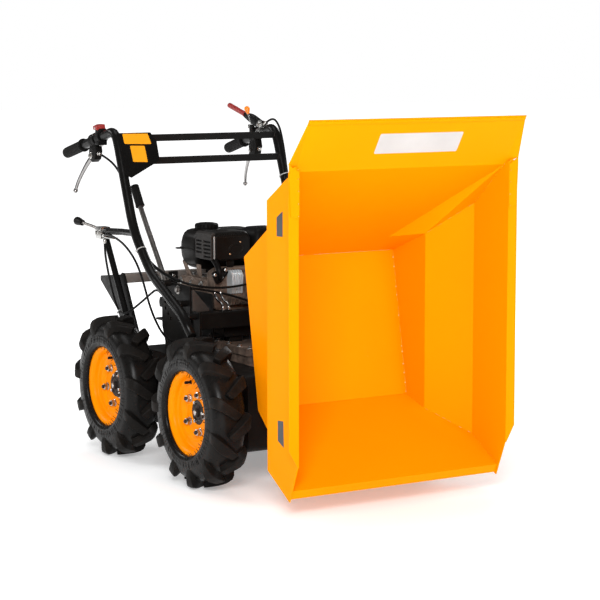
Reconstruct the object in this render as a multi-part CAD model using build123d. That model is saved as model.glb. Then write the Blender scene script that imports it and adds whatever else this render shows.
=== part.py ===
from build123d import *
import math
import os

os.makedirs("parts", exist_ok=True)

# ---------------------------------------------------------------- dimensions (mm)
SHIFT_Y = 182.5          # front axle ahead of the origin
WHEELBASE = 514.0
AXLE_Z = 205.0           # rolling radius of a 4.00-8 tyre
TYRE_R = 205.0
TYRE_HALF = 55.0
RIM_FLANGE_R = 116.5
RIM_SEAT_R = 103.0
WHEEL_X = 325.0          # wheel centre plane
STUB_R = 15.0
RUN = 0.05               # running clearance, radial
HUB_NOSE_R = 34.0        # hub boss in the middle of the rim
CASE_IN, CASE_OUT = 125.0, 225.0
CASE_Z0, CASE_Z1 = 92.0, 305.0
T = 3.0                  # tray sheet

PIVOT_Y, PIVOT_Z = -40.0, 410.0
PIN_R = 10.0

# tray, tipped: lateral lines of the load side (Y, Z) and half widths
FLAP_TOP = (-580.0, 1012.0)
FLAP_FOLD = (-497.0, 883.5)
FLOOR_TOP = (-97.0, 628.0)
FLOOR_LOW = (-170.0, 231.0)
LIP_FOLD = (-482.0, 78.0)
LIP_EDGE = (-471.0, 55.0)
W_FLOOR, W_RIM, W_FLAP = 235.5, 320.5, 328.0
FOLD12_Y, FOLD23_Y, RIM_Y = -257.0, -364.0, -513.0
FLANGE_X = 349.0
# corner facets of the sheet (X, Y, Z) on the left side
REAR_P = (177.0, -167.0, 672.7)
REAR_12 = (W_FLOOR, FOLD12_Y, 686.0)
REAR_23 = (W_RIM, FOLD23_Y, 773.0)
CHUTE_P = (175.0, -245.0, 194.0)
CHUTE_12 = (W_FLOOR, FOLD12_Y, 204.0)
CHUTE_23 = (W_RIM, FOLD23_Y, 142.0)

BAR_X, BAR_R = 271.5, 14.0

nodes = {}


def put(name, *shapes):
    solids = []
    for s in shapes:
        solids += list(s.solids())
    nodes[name] = solids


def box(x0, x1, y0, y1, z0, z1):
    return Pos((x0 + x1) / 2, (y0 + y1) / 2, (z0 + z1) / 2) * Box(abs(x1 - x0), abs(y1 - y0), abs(z1 - z0))


def cyl_x(y, z, r, x0, x1):
    return Pos((x0 + x1) / 2, y, z) * Rot(0, 90, 0) * Cylinder(r, abs(x1 - x0))


def cyl_y(x, z, r, y0, y1):
    return Pos(x, (y0 + y1) / 2, z) * Rot(90, 0, 0) * Cylinder(r, abs(y1 - y0))


def cyl_z(x, y, r, z0, z1):
    return Pos(x, y, (z0 + z1) / 2) * Cylinder(r, abs(z1 - z0))


def plate(points, vec):
    face = Face(Wire.make_polygon([Vector(*p) for p in points], close=True))
    return Part() + Solid.extrude(face, Vector(*vec))


def prism_yz(points, x0, x1):
    return plate([(x0, y, z) for y, z in points], (x1 - x0, 0, 0))


def prism_xz(points, y0, y1):
    return plate([(x, y0, z) for x, z in points], (0, y1 - y0, 0))


def prism_xy(points, z0, z1):
    return plate([(x, y, z0) for x, y in points], (0, 0, z1 - z0))


def rod(a, b, r):
    a, b = Vector(*a), Vector(*b)
    d = b - a
    return Part() + Solid.make_cylinder(r, d.length, Plane(origin=a, z_dir=d))


def run_of(points, radii):
    return FilletPolyline(*[Vector(*p) for p in points], radius=radii)


def tube(points, radii, r, bore=0.0):
    path = run_of(points, radii)
    start = Plane(origin=path @ 0, z_dir=path % 0)
    out = sweep(start * Circle(r), path=path)
    if bore:
        out = out - sweep(start * Circle(bore), path=path)
    length = path.length
    print("tube", len(points), "points, radii", [round(v, 1) for v in (radii if isinstance(radii, (list, tuple)) else [radii])],
          "length", round(length, 1), "volume ratio",
          round(out.volume / (math.pi * (r * r - bore * bore) * length), 4))
    return out


def mirror_x(shape):
    return mirror(shape, about=Plane.YZ)


def both(shape):
    return [shape, mirror_x(shape)]


def rounded(b, r, axis=None):
    edges = b.edges() if axis is None else b.edges().filter_by(axis)
    return fillet(edges, r)


# ---------------------------------------------------------------- tray
def strip_yz(a, b, t, side):
    """Sheet between two lateral lines; side turns the thickness outwards."""
    dy, dz = b[0] - a[0], b[1] - a[1]
    n = math.hypot(dy, dz)
    oy, oz = side * dz / n * t, -side * dy / n * t
    return [a, b, (b[0] + oy, b[1] + oz), (a[0] + oy, a[1] + oz)]


def outward(a, b, t, side):
    dy, dz = b[0] - a[0], b[1] - a[1]
    n = math.hypot(dy, dz)
    return (0, side * dz / n * t, -side * dy / n * t)


def line_at(a, b, y):
    return a[1] + (b[1] - a[1]) * (y - a[0]) / (b[0] - a[0])


def neg(p):
    return (-p[0], p[1], p[2])


# floor: lies between the side walls
floor = prism_yz(strip_yz(FLOOR_TOP, FLOOR_LOW, T, -1), -W_FLOOR, W_FLOOR)
put("tray_floor", floor)

# rear wall and chute: a main plane with folded corners
def folded(lo, hi, w_lo, w_hi, p, c12, c23, vec):
    """Main plane between two lateral lines plus corner facets, all pushed out by vec."""
    lo_l, hi_l = (w_lo, lo[0], lo[1]), (w_hi, hi[0], hi[1])
    main = plate([lo_l, p, hi_l, neg(hi_l), neg(p), neg(lo_l)], vec)
    out = main
    for tri in ((lo_l, c12, p), (p, c12, hi_l), (c12, c23, hi_l)):
        out = out + plate(tri, vec) + plate([neg(q) for q in tri], vec)
    return out


REAR_P = (REAR_P[0], REAR_P[1], line_at(FLOOR_TOP, FLAP_FOLD, REAR_P[1]))
CHUTE_P = (CHUTE_P[0], CHUTE_P[1], line_at(FLOOR_LOW, LIP_FOLD, CHUTE_P[1]))
rear = folded(FLOOR_TOP, FLAP_FOLD, W_FLOOR, W_RIM, REAR_P, REAR_12, REAR_23, outward(FLOOR_TOP, FLAP_FOLD, T, 1))
chute_vec = outward(FLOOR_LOW, LIP_FOLD, T, -1)
chute = folded(FLOOR_LOW, LIP_FOLD, W_FLOOR, W_RIM, CHUTE_P, CHUTE_12, CHUTE_23, chute_vec)
lip_vec = outward(LIP_FOLD, LIP_EDGE, T, -1)
lip_in = strip_yz(LIP_FOLD, LIP_EDGE, T, -1)
lip = prism_yz([LIP_FOLD, LIP_EDGE, lip_in[2], (LIP_FOLD[0] + chute_vec[1] + 3.0, LIP_FOLD[1] + chute_vec[2] + 1.47), (LIP_FOLD[0] + 6.0, LIP_FOLD[1] + 2.94)], -W_RIM, W_RIM)

# side wall: bent sheet, upright folds, cut to its outline
INNER = [(W_FLOOR, 20.0), (W_FLOOR, FOLD12_Y), (W_RIM, FOLD23_Y), (W_RIM, RIM_Y)]


def offset_profile(pts, t):
    k12 = math.atan2(W_RIM - W_FLOOR, FOLD12_Y - FOLD23_Y)
    d = t * math.tan(k12 / 2)
    return [(pts[0][0] + t, pts[0][1]), (pts[1][0] + t, pts[1][1] + d),
            (pts[2][0] + t, pts[2][1] + d), (pts[3][0] + t, pts[3][1])]


OUTLINE = [(RIM_Y, 893.0), (-453.0, 860.0), (-364.0, 806.0), (-210.0, 711.0), (-93.0, 633.0),
           (-166.0, 228.0), (-211.0, 188.0), (-365.0, 110.0), (-473.5, 48.0), (RIM_Y, 143.7)]
wall_sheet = prism_xy(INNER + offset_profile(INNER, T)[::-1], 0.0, 1100.0)
wall = wall_sheet & prism_yz(OUTLINE, 200.0, 400.0)
flange = prism_xz([(W_RIM, 143.7), (W_RIM + T, 143.7), (FLANGE_X, 188.5), (FLANGE_X, 884.0), (W_RIM + 12.0, 898.0), (W_RIM, 893.0)],
                  RIM_Y - T, RIM_Y)
wall = wall + flange
put("tray_side_left", wall)
put("tray_side_right", mirror_x(wall))

# rear flap with folded ears at its two ends
flap_vec = outward(FLAP_FOLD, FLAP_TOP, T, 1)
flap = plate([(W_RIM, *FLAP_FOLD), (W_FLAP, *FLAP_TOP), (-W_FLAP, *FLAP_TOP), (-W_RIM, *FLAP_FOLD)], flap_vec)
EAR_Y = RIM_Y - T
ear_top = plate([(W_RIM - 3.0, *FLAP_FOLD), (W_FLAP - 3.0, *FLAP_TOP), (FLANGE_X, EAR_Y - T, 902.0)], (2.0, 2.2, 1.0))
ear_low = prism_xz([(W_RIM, 770.0), (FLANGE_X - 4.0, 776.0), (FLANGE_X, 880.0), (FLANGE_X, 902.0), (W_RIM, 884.0)], EAR_Y - T, EAR_Y)
rear = rear - flap
ears = []
for e in (ear_top, ear_low):
    ears += [e, mirror_x(e)]
walls = wall + mirror_x(wall)
rear = rear - walls - floor
chute = chute + lip
chute = chute - walls - floor
flap = flap - rear
flap_all = flap
for e in ears:
    flap_all = flap_all + e
flap_all = flap_all - walls - rear
put("tray_rear_wall", rear)
put("tray_chute", chute)
put("tray_rear_flap", flap_all)

# hinge lugs welded to the back of the floor, stiffened by a cross channel
def floor_back(z):
    return line_at2(z) + T / math.cos(math.atan2(FLOOR_TOP[0] - FLOOR_LOW[0], FLOOR_TOP[1] - FLOOR_LOW[1]))


def line_at2(z):
    return FLOOR_LOW[0] + (FLOOR_TOP[0] - FLOOR_LOW[0]) * (z - FLOOR_LOW[1]) / (FLOOR_TOP[1] - FLOOR_LOW[1])


LUG_X0, LUG_X1 = 112.0, 120.0
lug = prism_yz([(floor_back(330), 330), (floor_back(490), 490), (PIVOT_Y - 6, PIVOT_Z + 23), (PIVOT_Y + 6, PIVOT_Z + 22), (PIVOT_Y + 6, PIVOT_Z - 22), (PIVOT_Y - 6, PIVOT_Z - 23)],
               LUG_X0, LUG_X1) + cyl_x(PIVOT_Y, PIVOT_Z, 24.0, LUG_X0, LUG_X1)
lug = lug - cyl_x(PIVOT_Y, PIVOT_Z, PIN_R + RUN, LUG_X0 - 5, LUG_X1 + 5)
put("tray_hinge_lugs", *both(lug),
    *[prism_yz([(floor_back(260), 260), (floor_back(600), 600), (floor_back(590) + 22, 590), (floor_back(270) + 22, 270)], x0, x1)
      for x0, x1 in ((150.0, 180.0), (-180.0, -150.0))])

# ---------------------------------------------------------------- chassis
CASE_T = 5.0
CASE_Y0, CASE_Y1 = -88.0, WHEELBASE + 88.0


def case_body(x0, x1):
    b = box(x0, x1, CASE_Y0, CASE_Y1, CASE_Z0, CASE_Z1)
    b = fillet(b.edges().filter_by(Axis.X), 34.0)
    hollow = box(x0 - 1.0, x1 - CASE_T, CASE_Y0 + CASE_T, CASE_Y1 - CASE_T, CASE_Z0 + CASE_T, CASE_Z1 - CASE_T)
    b = b - fillet(hollow.edges().filter_by(Axis.X), 34.0 - CASE_T)
    for y in (0.0, WHEELBASE):
        b = b + cyl_x(y, AXLE_Z, 40.0, x1 - 45.0, x1 + 22.0)
        b = b - cyl_x(y, AXLE_Z, STUB_R + RUN, x0 - 1.0, x1 + 40.0)
    return b


case = case_body(CASE_IN + CASE_T, CASE_OUT)
put("chain_case_left", case)
put("chain_case_right", mirror_x(case))
cover = box(CASE_IN, CASE_IN + CASE_T, CASE_Y0, CASE_Y1, CASE_Z0, CASE_Z1)
cover = fillet(cover.edges().filter_by(Axis.X), 34.0)
put("chain_case_covers", *both(cover))

cross_tube = box(-CASE_IN, CASE_IN, -62.0, -12.0, 235.0, 285.0)
put("belly_plate", box(-CASE_IN, CASE_IN, 20.0, 560.0, 110.0, 114.0))

# gearbox: cast case with a bolted lid
gear = box(-118.0, 118.0, 96.0, 330.0, 150.0, 338.0)
gear = fillet(gear.edges().filter_by(Axis.Z), 14.0)
lid = box(-124.0, 124.0, 90.0, 336.0, 338.0, 350.0)
lid = fillet(lid.edges().filter_by(Axis.Z), 16.0)
lid = lid + cyl_z(-60.0, 150.0, 12.0, 350.0, 372.0)
put("gearbox", gear + lid)

# hinge brackets and pin
BR_X0, BR_X1 = 100.0, 108.0
br = prism_yz([(-62.0, 285.0), (-12.0, 285.0), (PIVOT_Y + 20, PIVOT_Z), (PIVOT_Y - 20, PIVOT_Z)], BR_X0, BR_X1) + cyl_x(PIVOT_Y, PIVOT_Z, 22.0, BR_X0, BR_X1)
br = br - cyl_x(PIVOT_Y, PIVOT_Z, PIN_R, BR_X0 - 5, BR_X1 + 5)
put("hinge_bracket_tube", cross_tube + br + mirror_x(br))
put("hinge_pin", cyl_x(PIVOT_Y, PIVOT_Z, PIN_R, -126.0, 126.0))

# cross beam, side plates, gussets
BEAM_Y0, BEAM_Y1, BEAM_Z0, BEAM_Z1 = 185.0, 225.0, 400.0, 446.0
PL_X0, PL_X1 = 230.0, 235.0
END_T = 6.0              # end plates of the beam
beam = (rounded(box(-PL_X0 + END_T, PL_X0 - END_T, BEAM_Y0, BEAM_Y1, BEAM_Z0, BEAM_Z1), 3.0, Axis.X))
side_pts = [(196.0, 250.0), (196.0, 335.0), (208.0, 383.0), (218.0, 406.0), (226.0, 444.0), (226.0, 520.0), (352.0, 520.0), (400.0, 492.0),
            (400.0, 388.0), (376.0, 330.0), (376.0, 250.0)]
side = prism_yz(side_pts, PL_X0, PL_X1)
holes = [(379.0, 460.0), (377.5, 442.0), (361.0, 428.0), (345.0, 415.0)]
HOLE_R = 5.5
for y, z in holes:
    side = side - cyl_x(y, z, HOLE_R, PL_X0 - 5, PL_X1 + 5)
foot = box(CASE_OUT, PL_X0, 215.0, 295.0, 252.0, 300.0)
side = side + foot
gus = prism_xz([(PL_X0, BEAM_Z1), (PL_X0 - 60.0, BEAM_Z1), (PL_X0, BEAM_Z1 + 70.0)], BEAM_Y1 - 4.0, BEAM_Y1)
end_plate = box(PL_X0 - END_T, PL_X0, 178.0, 226.0, 374.0, 450.0)
beam = beam + gus + mirror_x(gus) + end_plate + mirror_x(end_plate)

# engine bed, with an upright front edge on the beam and straps to the rear bar
bed = box(-124.0, 124.0, BEAM_Y1, 660.0, 368.0, 374.0) + box(-124.0, 124.0, BEAM_Y1, BEAM_Y1 + 5.0, 374.0, 440.0)
bed = bed + box(50.0, 80.0, 655.0, 660.0, 374.0, 512.0) + box(-80.0, -50.0, 655.0, 660.0, 374.0, 512.0)
for x0, x1 in ((60.0, 100.0), (-100.0, -60.0)):
    bed = bed + box(x0, x1, 236.0, 276.0, 350.0, 368.0)
for sx in (1, -1):
    bed = bed + box(sx * 124.0, sx * 170.0, 430.0, 470.0, 368.0, 374.0) + box(sx * 164.0, sx * 170.0, 430.0, 470.0, CASE_Z1, 368.0)
bed = bed + box(-124.0, 124.0, 596.0, 601.0, 292.0, 368.0)      # closing plate under the rear of the bed
put("engine_bed", bed)
# belt guard on two stand-offs from the edge of the bed
GUARD_X0, GUARD_X1 = -160.0, -157.0
guard = prism_yz([(229.0, 360.0), (229.0, 486.0), (236.0, 492.0), (520.0, 492.0), (540.0, 466.0), (540.0, 360.0), (440.0, 360.0), (330.0, 305.0), (270.0, 305.0), (240.0, 335.0)], GUARD_X0, GUARD_X1)
guard = guard - box(GUARD_X0 - 5.0, GUARD_X1 + 5.0, 424.0, 476.0, 355.0, 380.0)      # cut round the foot of the bed
for y in (245.0, 520.0):
    guard = guard + cyl_x(y, 371.0, 5.0, GUARD_X1, -124.0)
put("belt_guard", guard)
rear_bar = (rounded(box(-CASE_OUT, CASE_OUT, 660.0, 690.0, 484.0, 512.0), 3.0, Axis.X))
up_pts = [(540.0, 240.0), (590.0, 240.0), (712.0, 402.0), (826.0, 478.0), (826.0, 492.0), (660.0, 512.0), (620.0, 440.0), (540.0, 300.0)]
up = prism_yz(up_pts, CASE_OUT, CASE_OUT + 5.0)
put("rear_frame", rear_bar + up + mirror_x(up))

# ---------------------------------------------------------------- engine
CRANK_Y, CRANK_Z = 480.0, 456.0      # crankshaft, across the machine
HEAD_TOP = 546.0
block = box(-92.0, 92.0, 384.0, 590.0, 374.0, 514.0)
block = fillet(block.edges().filter_by(Axis.X), 20.0)
block = block + box(-94.0, 62.0, 336.0, 390.0, 425.0, 550.0) + box(-58.0, 58.0, 300.0, 336.0, 440.0, HEAD_TOP)
put("engine_block", block)
put("recoil_starter", cyl_x(CRANK_Y, CRANK_Z, 75.0, 92.0, 134.0))
# belt drive on the right: crankshaft pulley and gearbox input pulley
BELT_X0, BELT_X1 = -152.0, -126.0
put("drive_pulley", cyl_x(CRANK_Y, CRANK_Z, 34.0, BELT_X0, BELT_X1) + cyl_x(CRANK_Y, CRANK_Z, 12.7, BELT_X1, -92.0),
    cyl_x(300.0, 328.0, 22.0, BELT_X0, BELT_X1) + cyl_x(300.0, 328.0, 9.0, BELT_X1, -118.0))
tank = rounded(box(-95.0, 128.0, 440.0, 572.0, 534.0, 652.0), 26.0)
put("fuel_tank", tank)
put("fuel_cap", cyl_z(-33.0, 500.0, 38.0, 652.0, 671.0))
muf = rounded(box(-105.0, 26.0, 335.0, 437.0, 573.0, 656.0), 12.0)
put("muffler", muf)
cleaner = rounded(box(30.0, 135.0, 318.0, 432.0, 560.0, 664.0), 14.0)
put("air_cleaner", cleaner)
pipe = tube([(-91.0, 350.0, 576.0), (-90.0, 318.0, 545.0), (-86.0, 320.0, 528.0), (-84.0, 338.0, 524.0)], [14.0, 9.0], 8.0)
flange = prism_xz([(-108.0, 541.0), (-60.0, 554.0), (-56.0, 540.0), (-80.0, 512.0), (-92.0, 508.0)], 326.0, 334.0) + box(-92.0, -66.0, 334.0, 336.0, 516.0, 546.0)
pipe = (pipe + flange) - muf - block
put("exhaust_pipe", max(pipe.solids(), key=lambda q: q.volume))

# ---------------------------------------------------------------- handlebar
BAR_PATH = [(146.0, 391.0), (203.0, 444.5), (392.0, 541.0), (505.0, 655.0), (598.0, 895.0), (622.0, 945.0), (936.0, 866.0)]
GRIP_X = 284.0


def bar_points(side):
    pts = [(side * BAR_X, y, z) for y, z in BAR_PATH]
    y, z = BAR_PATH[-1]
    pts[-1] = (side * GRIP_X, y, z)
    return pts


bar_radii = [110.0, 260.0, 300.0, 260.0, 38.0]
bar_solid = {}
for s, nm in ((1, "left"), (-1, "right")):
    put("handlebar_" + nm, tube(bar_points(s), bar_radii, BAR_R, BAR_R - 2.5))
    bar_solid[nm] = tube(bar_points(s), bar_radii, BAR_R)
GRIP_F = (822.0 - BAR_PATH[-2][0]) / (BAR_PATH[-1][0] - BAR_PATH[-2][0])
ga = Vector(BAR_X + (GRIP_X - BAR_X) * GRIP_F, 822.0, BAR_PATH[-2][1] + (BAR_PATH[-1][1] - BAR_PATH[-2][1]) * GRIP_F)
gb = Vector(GRIP_X, *BAR_PATH[-1])
gdir = (gb - ga).normalized()
gstart, gend = ga, gb + gdir * 5
grip = rod(tuple(gstart), tuple(gend), 17.0) - rod(tuple(gstart - gdir * 5), tuple(gb), BAR_R + 0.02)
put("handle_grips", *both(grip))

bosses = []
for y, z in ((250.0, 468.8), (348.0, 517.5)):
    bosses.append(cyl_x(y, z, 9.0, PL_X1, BAR_X - 13.0))
clampers = []
for b in bosses:
    for q in both(b):
        clampers.append(q - bar_solid["left"] - bar_solid["right"])
side = side + clampers[0] + clampers[2]
put("side_plates", side, mirror_x(side))
low_boss = cyl_x(196.0, 438.0, 9.0, PL_X0, BAR_X - 13.0) - bar_solid["left"]
low_boss = Part() + max(low_boss.solids(), key=lambda q: q.volume)
put("cross_beam", beam + low_boss + mirror_x(low_boss))


def bar_at(z):
    for (y0, z0), (y1, z1) in zip(BAR_PATH, BAR_PATH[1:]):
        if z0 <= z <= z1:
            return y0 + (y1 - y0) * (z - z0) / (z1 - z0)


bars = []
for z in (855.0, 921.0):
    y = bar_at(z)
    b = box(-BAR_X, BAR_X, y - 10.0, y + 10.0, z - 10.0, z + 10.0)
    bars.append(b - bar_solid["left"] - bar_solid["right"])
bars = [max(b.solids(), key=lambda s: s.volume) for b in bars]
put("handlebar_crossbars", *bars)

# control panel in front of the crossbars, right end
lean = math.atan2(bar_at(921.0) - bar_at(855.0), 66.0)
py = lambda z: bar_at(855.0) + (z - 855.0) * math.tan(lean) - 10.0 / math.cos(lean) - 4.2
pts = [(-166.0, 938.0), (-151.0, 911.0), (-153.0, 856.0), (-256.0, 809.0), (-272.0, 816.0), (-272.0, 938.0)]
panel = plate([(x, py(z), z) for x, z in pts], (0, -2.0, 0))
panel = panel - bar_solid["right"]
put("control_panel", max(panel.solids(), key=lambda s: s.volume))

# ---------------------------------------------------------------- hand controls
grip_dir = gdir
def on_bar(y, side):
    f = (y - 622.0) / (936.0 - 622.0)
    return Vector(side * (BAR_X + (GRIP_X - BAR_X) * f), y, 945.0 + (866.0 - 945.0) * f)


lev_br, levers = [], []
for s in (1, -1):
    c = on_bar(748.0, s)
    b = rod(tuple(c - gdir.__class__(s * gdir.X, gdir.Y, gdir.Z) * 17), tuple(c + gdir.__class__(s * gdir.X, gdir.Y, gdir.Z) * 17), 20.0)
    b = b + box(c.X - 11, c.X + 11, 735.0, 765.0, c.Z - 58.0, c.Z - 10.0)
    b = b - bar_solid["left" if s > 0 else "right"]
    lev_br.append(max(b.solids(), key=lambda q: q.volume))
    x0 = c.X
    lv = tube([(x0, 766.0, c.Z - 46.0), (x0 + s * 4, 800.0, 828.0), (x0 + s * 18, 846.0, 752.0)], 60.0, 5.5)
    lv = lv + Pos(x0 + s * 18, 846.0, 752.0) * Sphere(8.5)
    levers.append(max((lv - lev_br[-1]).solids(), key=lambda q: q.volume))
put("steering_lever_brackets", *lev_br)
put("steering_levers", *levers)

c = on_bar(712.0, -1)
sw = rod(tuple(c - gdir.__class__(-gdir.X, gdir.Y, gdir.Z) * 14), tuple(c + gdir.__class__(-gdir.X, gdir.Y, gdir.Z) * 14), 19.0)
sw = sw + box(c.X - 13, c.X + 13, 699.0, 727.0, c.Z + 8, c.Z + 26)
sw = sw - bar_solid["right"]
sw = sw + cyl_z(c.X, 713.0, 9.0, c.Z + 26, c.Z + 35)
put("kill_switch", max(sw.solids(), key=lambda q: q.volume))

c = on_bar(700.0, 1)
cb = rod(tuple(c - gdir * 15), tuple(c + gdir * 15), 19.0) + box(c.X - 9, c.X + 9, 690.0, 716.0, c.Z + 6, c.Z + 34)
cb = cb - bar_solid["left"]
cb = Part() + max(cb.solids(), key=lambda q: q.volume)
arm = tube([(c.X, 712.0, c.Z + 24), (c.X, 760.0, 966.0), (c.X, 807.0, 977.0)], 60.0, 6.0)
put("clutch_lever", cb + arm)
put("clutch_lever_grip", rod((c.X, 807.0, 977.0), (c.X, 914.0, 1004.0), 8.5) - (cb + arm))
put("throttle_lever", rod((c.X - 20, 736.0, 946.0), (c.X - 20, 760.0, 992.0), 3.0) + Pos(c.X - 20, 762.0, 996.0) * Sphere(9.0)
    + box(c.X - 25, c.X - 15, 722.0, 750.0, 936.0, 948.0))

# tipping lever with a rubber grip, pivoting on the side plate foot
tl = tube([(-200.0, 420.0, 470.0), (-200.0, 462.0, 532.0), (-200.0, 600.0, 712.0), (-200.0, 640.0, 772.0)], [120.0, 300.0], 9.0)
gd = (Vector(0, 640.0 - 600.0, 772.0 - 712.0)).normalized()
g0 = Vector(-200.0, 600.0, 712.0) + gd * 8
g1 = Vector(-200.0, 640.0, 772.0)
put("tipping_lever_grip", rod(tuple(g0), tuple(g1 + gd * 8), 14.0) - rod(tuple(g0 - gd * 5), tuple(g1), 9.02))
put("tipping_lever", tl + box(-230.0, -192.0, 395.0, 445.0, 440.0, 474.0))

# gear lever, its bracket and post
post = rod((-246.0, 612.0, 392.0), (-246.0, 746.0, 613.0), 9.5)
gbk = box(-272.0, -240.0, 730.0, 768.0, 614.0, 650.0) - post
put("gear_bracket", max(gbk.solids(), key=lambda q: q.volume))
strut = tube([(-256.0, 730.0, 638.0), (-258.0, 610.0, 645.0), (-271.5, 498.0, 650.0)], 200.0, 10.0) - bar_solid["right"] - gbk
put("gear_stays", post, max(strut.solids(), key=lambda q: q.volume))
put("gear_lever", (rod((-258.0, 766.0, 637.0), (-262.0, 881.0, 652.0), 5.0) - gbk) + rod((-262.0, 880.0, 652.0), (-263.0, 926.0, 656.0), 13.0))

# ---------------------------------------------------------------- control cables, held along their route
CABLE_R = 3.5


def cable(points):
    v = [Vector(*p) for p in points]
    radii = []
    for a, b, c in zip(v, v[1:], v[2:]):
        turn = math.radians((b - a).get_angle(c - b))
        radii.append(0.45 * min((b - a).length, (c - b).length) / math.tan(turn / 2))
    return tube(points, radii, CABLE_R)


cables = [
    cable([(-276.4, 733.0, 874.0), (-268.0, 700.0, 864.0), (-256.0, 650.0, 838.0), (-248.0, 610.0, 790.0), (-247.0, 580.0, 730.0), (-247.0, 549.0, 670.0), (-248.0, 519.0, 621.0),
           (-248.0, 487.0, 589.5), (-247.0, 445.0, 566.0), (-243.0, 397.0, 548.0), (-236.0, 351.5, 535.0), (-220.0, 318.0, 525.0), (-190.0, 287.0, 513.0), (-125.5, 284.0, 502.0),
           (-53.2, 284.0, 502.0), (0.0, 284.0, 511.0), (44.0, 286.0, 526.0), (66.0, 304.0, 538.0)]),
    cable([(-266.0, 726.0, 624.0), (-273.0, 698.0, 631.0), (-275.0, 651.0, 633.0), (-275.0, 563.0, 614.5), (-272.0, 493.0, 572.0), (-266.0, 459.0, 515.5), (-262.0, 423.0, 438.6),
           (-256.0, 379.0, 384.0), (-247.0, 350.0, 358.0), (-239.4, 334.0, 345.0)]),
    cable([(-262.0, 724.0, 616.0), (-268.0, 712.0, 578.0), (-265.0, 700.0, 525.0), (-262.5, 672.0, 455.0), (-261.5, 640.0, 410.0), (-261.0, 606.0, 398.0), (-254.0, 570.0, 412.0),
           (-248.0, 510.0, 444.0), (-243.0, 455.0, 476.0), (-241.0, 418.0, 494.0), (-239.4, 394.0, 484.0)]),
    cable([(272.5, 683.0, 950.0), (272.5, 640.0, 974.0), (271.0, 592.0, 956.0), (269.0, 560.0, 890.0), (267.0, 534.0, 800.0),
           (262.0, 500.0, 716.0), (246.0, 470.0, 650.0), (205.0, 462.0, 606.0), (165.0, 474.0, 592.0), (131.5, 494.0, 590.0)]),
    cable([(-229.0, 290.0, 508.0), (-200.0, 276.0, 508.0), (-162.2, 270.0, 500.4), (-109.8, 269.0, 488.5), (-61.8, 269.0, 474.8), (-18.1, 269.0, 459.0), (40.0, 267.0, 436.0),
           (84.0, 262.0, 408.0), (98.0, 259.0, 375.0)]),
]
put("control_cables", *cables)

# ---------------------------------------------------------------- wheels
def tyre():
    outer = [(RIM_SEAT_R, 35.8), (117.5, 35.8), (122.0, 46.0), (150.0, TYRE_HALF), (178.0, 54.0), (198.0, 47.0), (TYRE_R, 36.0)]
    inner = [(190.0, 30.0), (176.0, 43.0), (150.0, 46.0), (126.0, 36.0), (116.0, 24.0), (RIM_SEAT_R, 24.0)]
    half = outer + [(TYRE_R, 0.0), (190.0, 0.0)] + inner
    low = [(r, -x) for r, x in half]
    a = revolve(make_face(Plane.XY * Polyline(*half, half[0])), axis=Axis.Y)
    b = revolve(make_face(Plane.XY * Polyline(*low, low[0])), axis=Axis.Y)
    return a + b


def rim():
    prof = Polyline((98.0, -39.0), (RIM_FLANGE_R, -39.0), (RIM_FLANGE_R, -36.0), (RIM_SEAT_R - 0.1, -36.0), (RIM_SEAT_R - 0.1, 36.0), (RIM_FLANGE_R, 36.0),
                    (RIM_FLANGE_R, 39.0), (98.0, 39.0), (98.0, 16.0), (77.0, 16.0), (66.0, 8.0), (HUB_NOSE_R + 0.1, 8.0), (HUB_NOSE_R + 0.1, 4.0), (67.0, 4.0), (78.0, 12.0), (98.0, 12.0), (98.0, -39.0))
    r = revolve(make_face(Plane.XY * prof), axis=Axis.Y)
    return r


def hub():
    h = Pos(0, -11.0, 0) * Rot(90, 0, 0) * Cylinder(50.0, 30.0)
    h = h + Pos(0, 6.0, 0) * Rot(90, 0, 0) * Cylinder(HUB_NOSE_R, 4.0) + Pos(0, 11.0, 0) * Rot(90, 0, 0) * Cylinder(15.0, 14.0)
    h = h + Pos(0, -101.0, 0) * Rot(90, 0, 0) * Cylinder(STUB_R, 150.0)
    return h


TO_LEFT = Rot(0, 0, -90)   # local +Y to world +X
for s, sn in ((1, "left"), (-1, "right")):
    for y, fn in ((0.0, "front"), (WHEELBASE, "rear")):
        for kind, make in (("tyre", tyre), ("rim", rim), ("hub", hub)):
            w = Pos(WHEEL_X, y, AXLE_Z) * TO_LEFT * make()
            put(f"{kind}_{fn}_{sn}", w if s > 0 else mirror_x(w))

# ---------------------------------------------------------------- write
lo, hi = [1e9] * 3, [-1e9] * 3
for solids in nodes.values():
    for q in solids:
        bb = q.bounding_box()
        for i, (a, b) in enumerate(zip((bb.min.X, bb.min.Y, bb.min.Z), (bb.max.X, bb.max.Y, bb.max.Z))):
            lo[i], hi[i] = min(lo[i], a), max(hi[i], b)
print("box before shift", [round(v, 3) for v in lo], [round(v, 3) for v in hi], "centre y", round((lo[1] + hi[1]) / 2, 3))
for name, solids in nodes.items():
    moved = [q.moved(Location((0, -SHIFT_Y, 0))) for q in solids]
    shape = moved[0] if len(moved) == 1 else Compound(children=moved)
    export_step(shape, f"parts/{name}.step")
    print(name, len(solids), "solids", round(sum(q.volume for q in solids) / 1000, 1), "cm3")
print(len(nodes), "nodes")
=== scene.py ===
import math
import random

import bmesh
import bpy
from mathutils import Matrix, Quaternion, Vector


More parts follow.
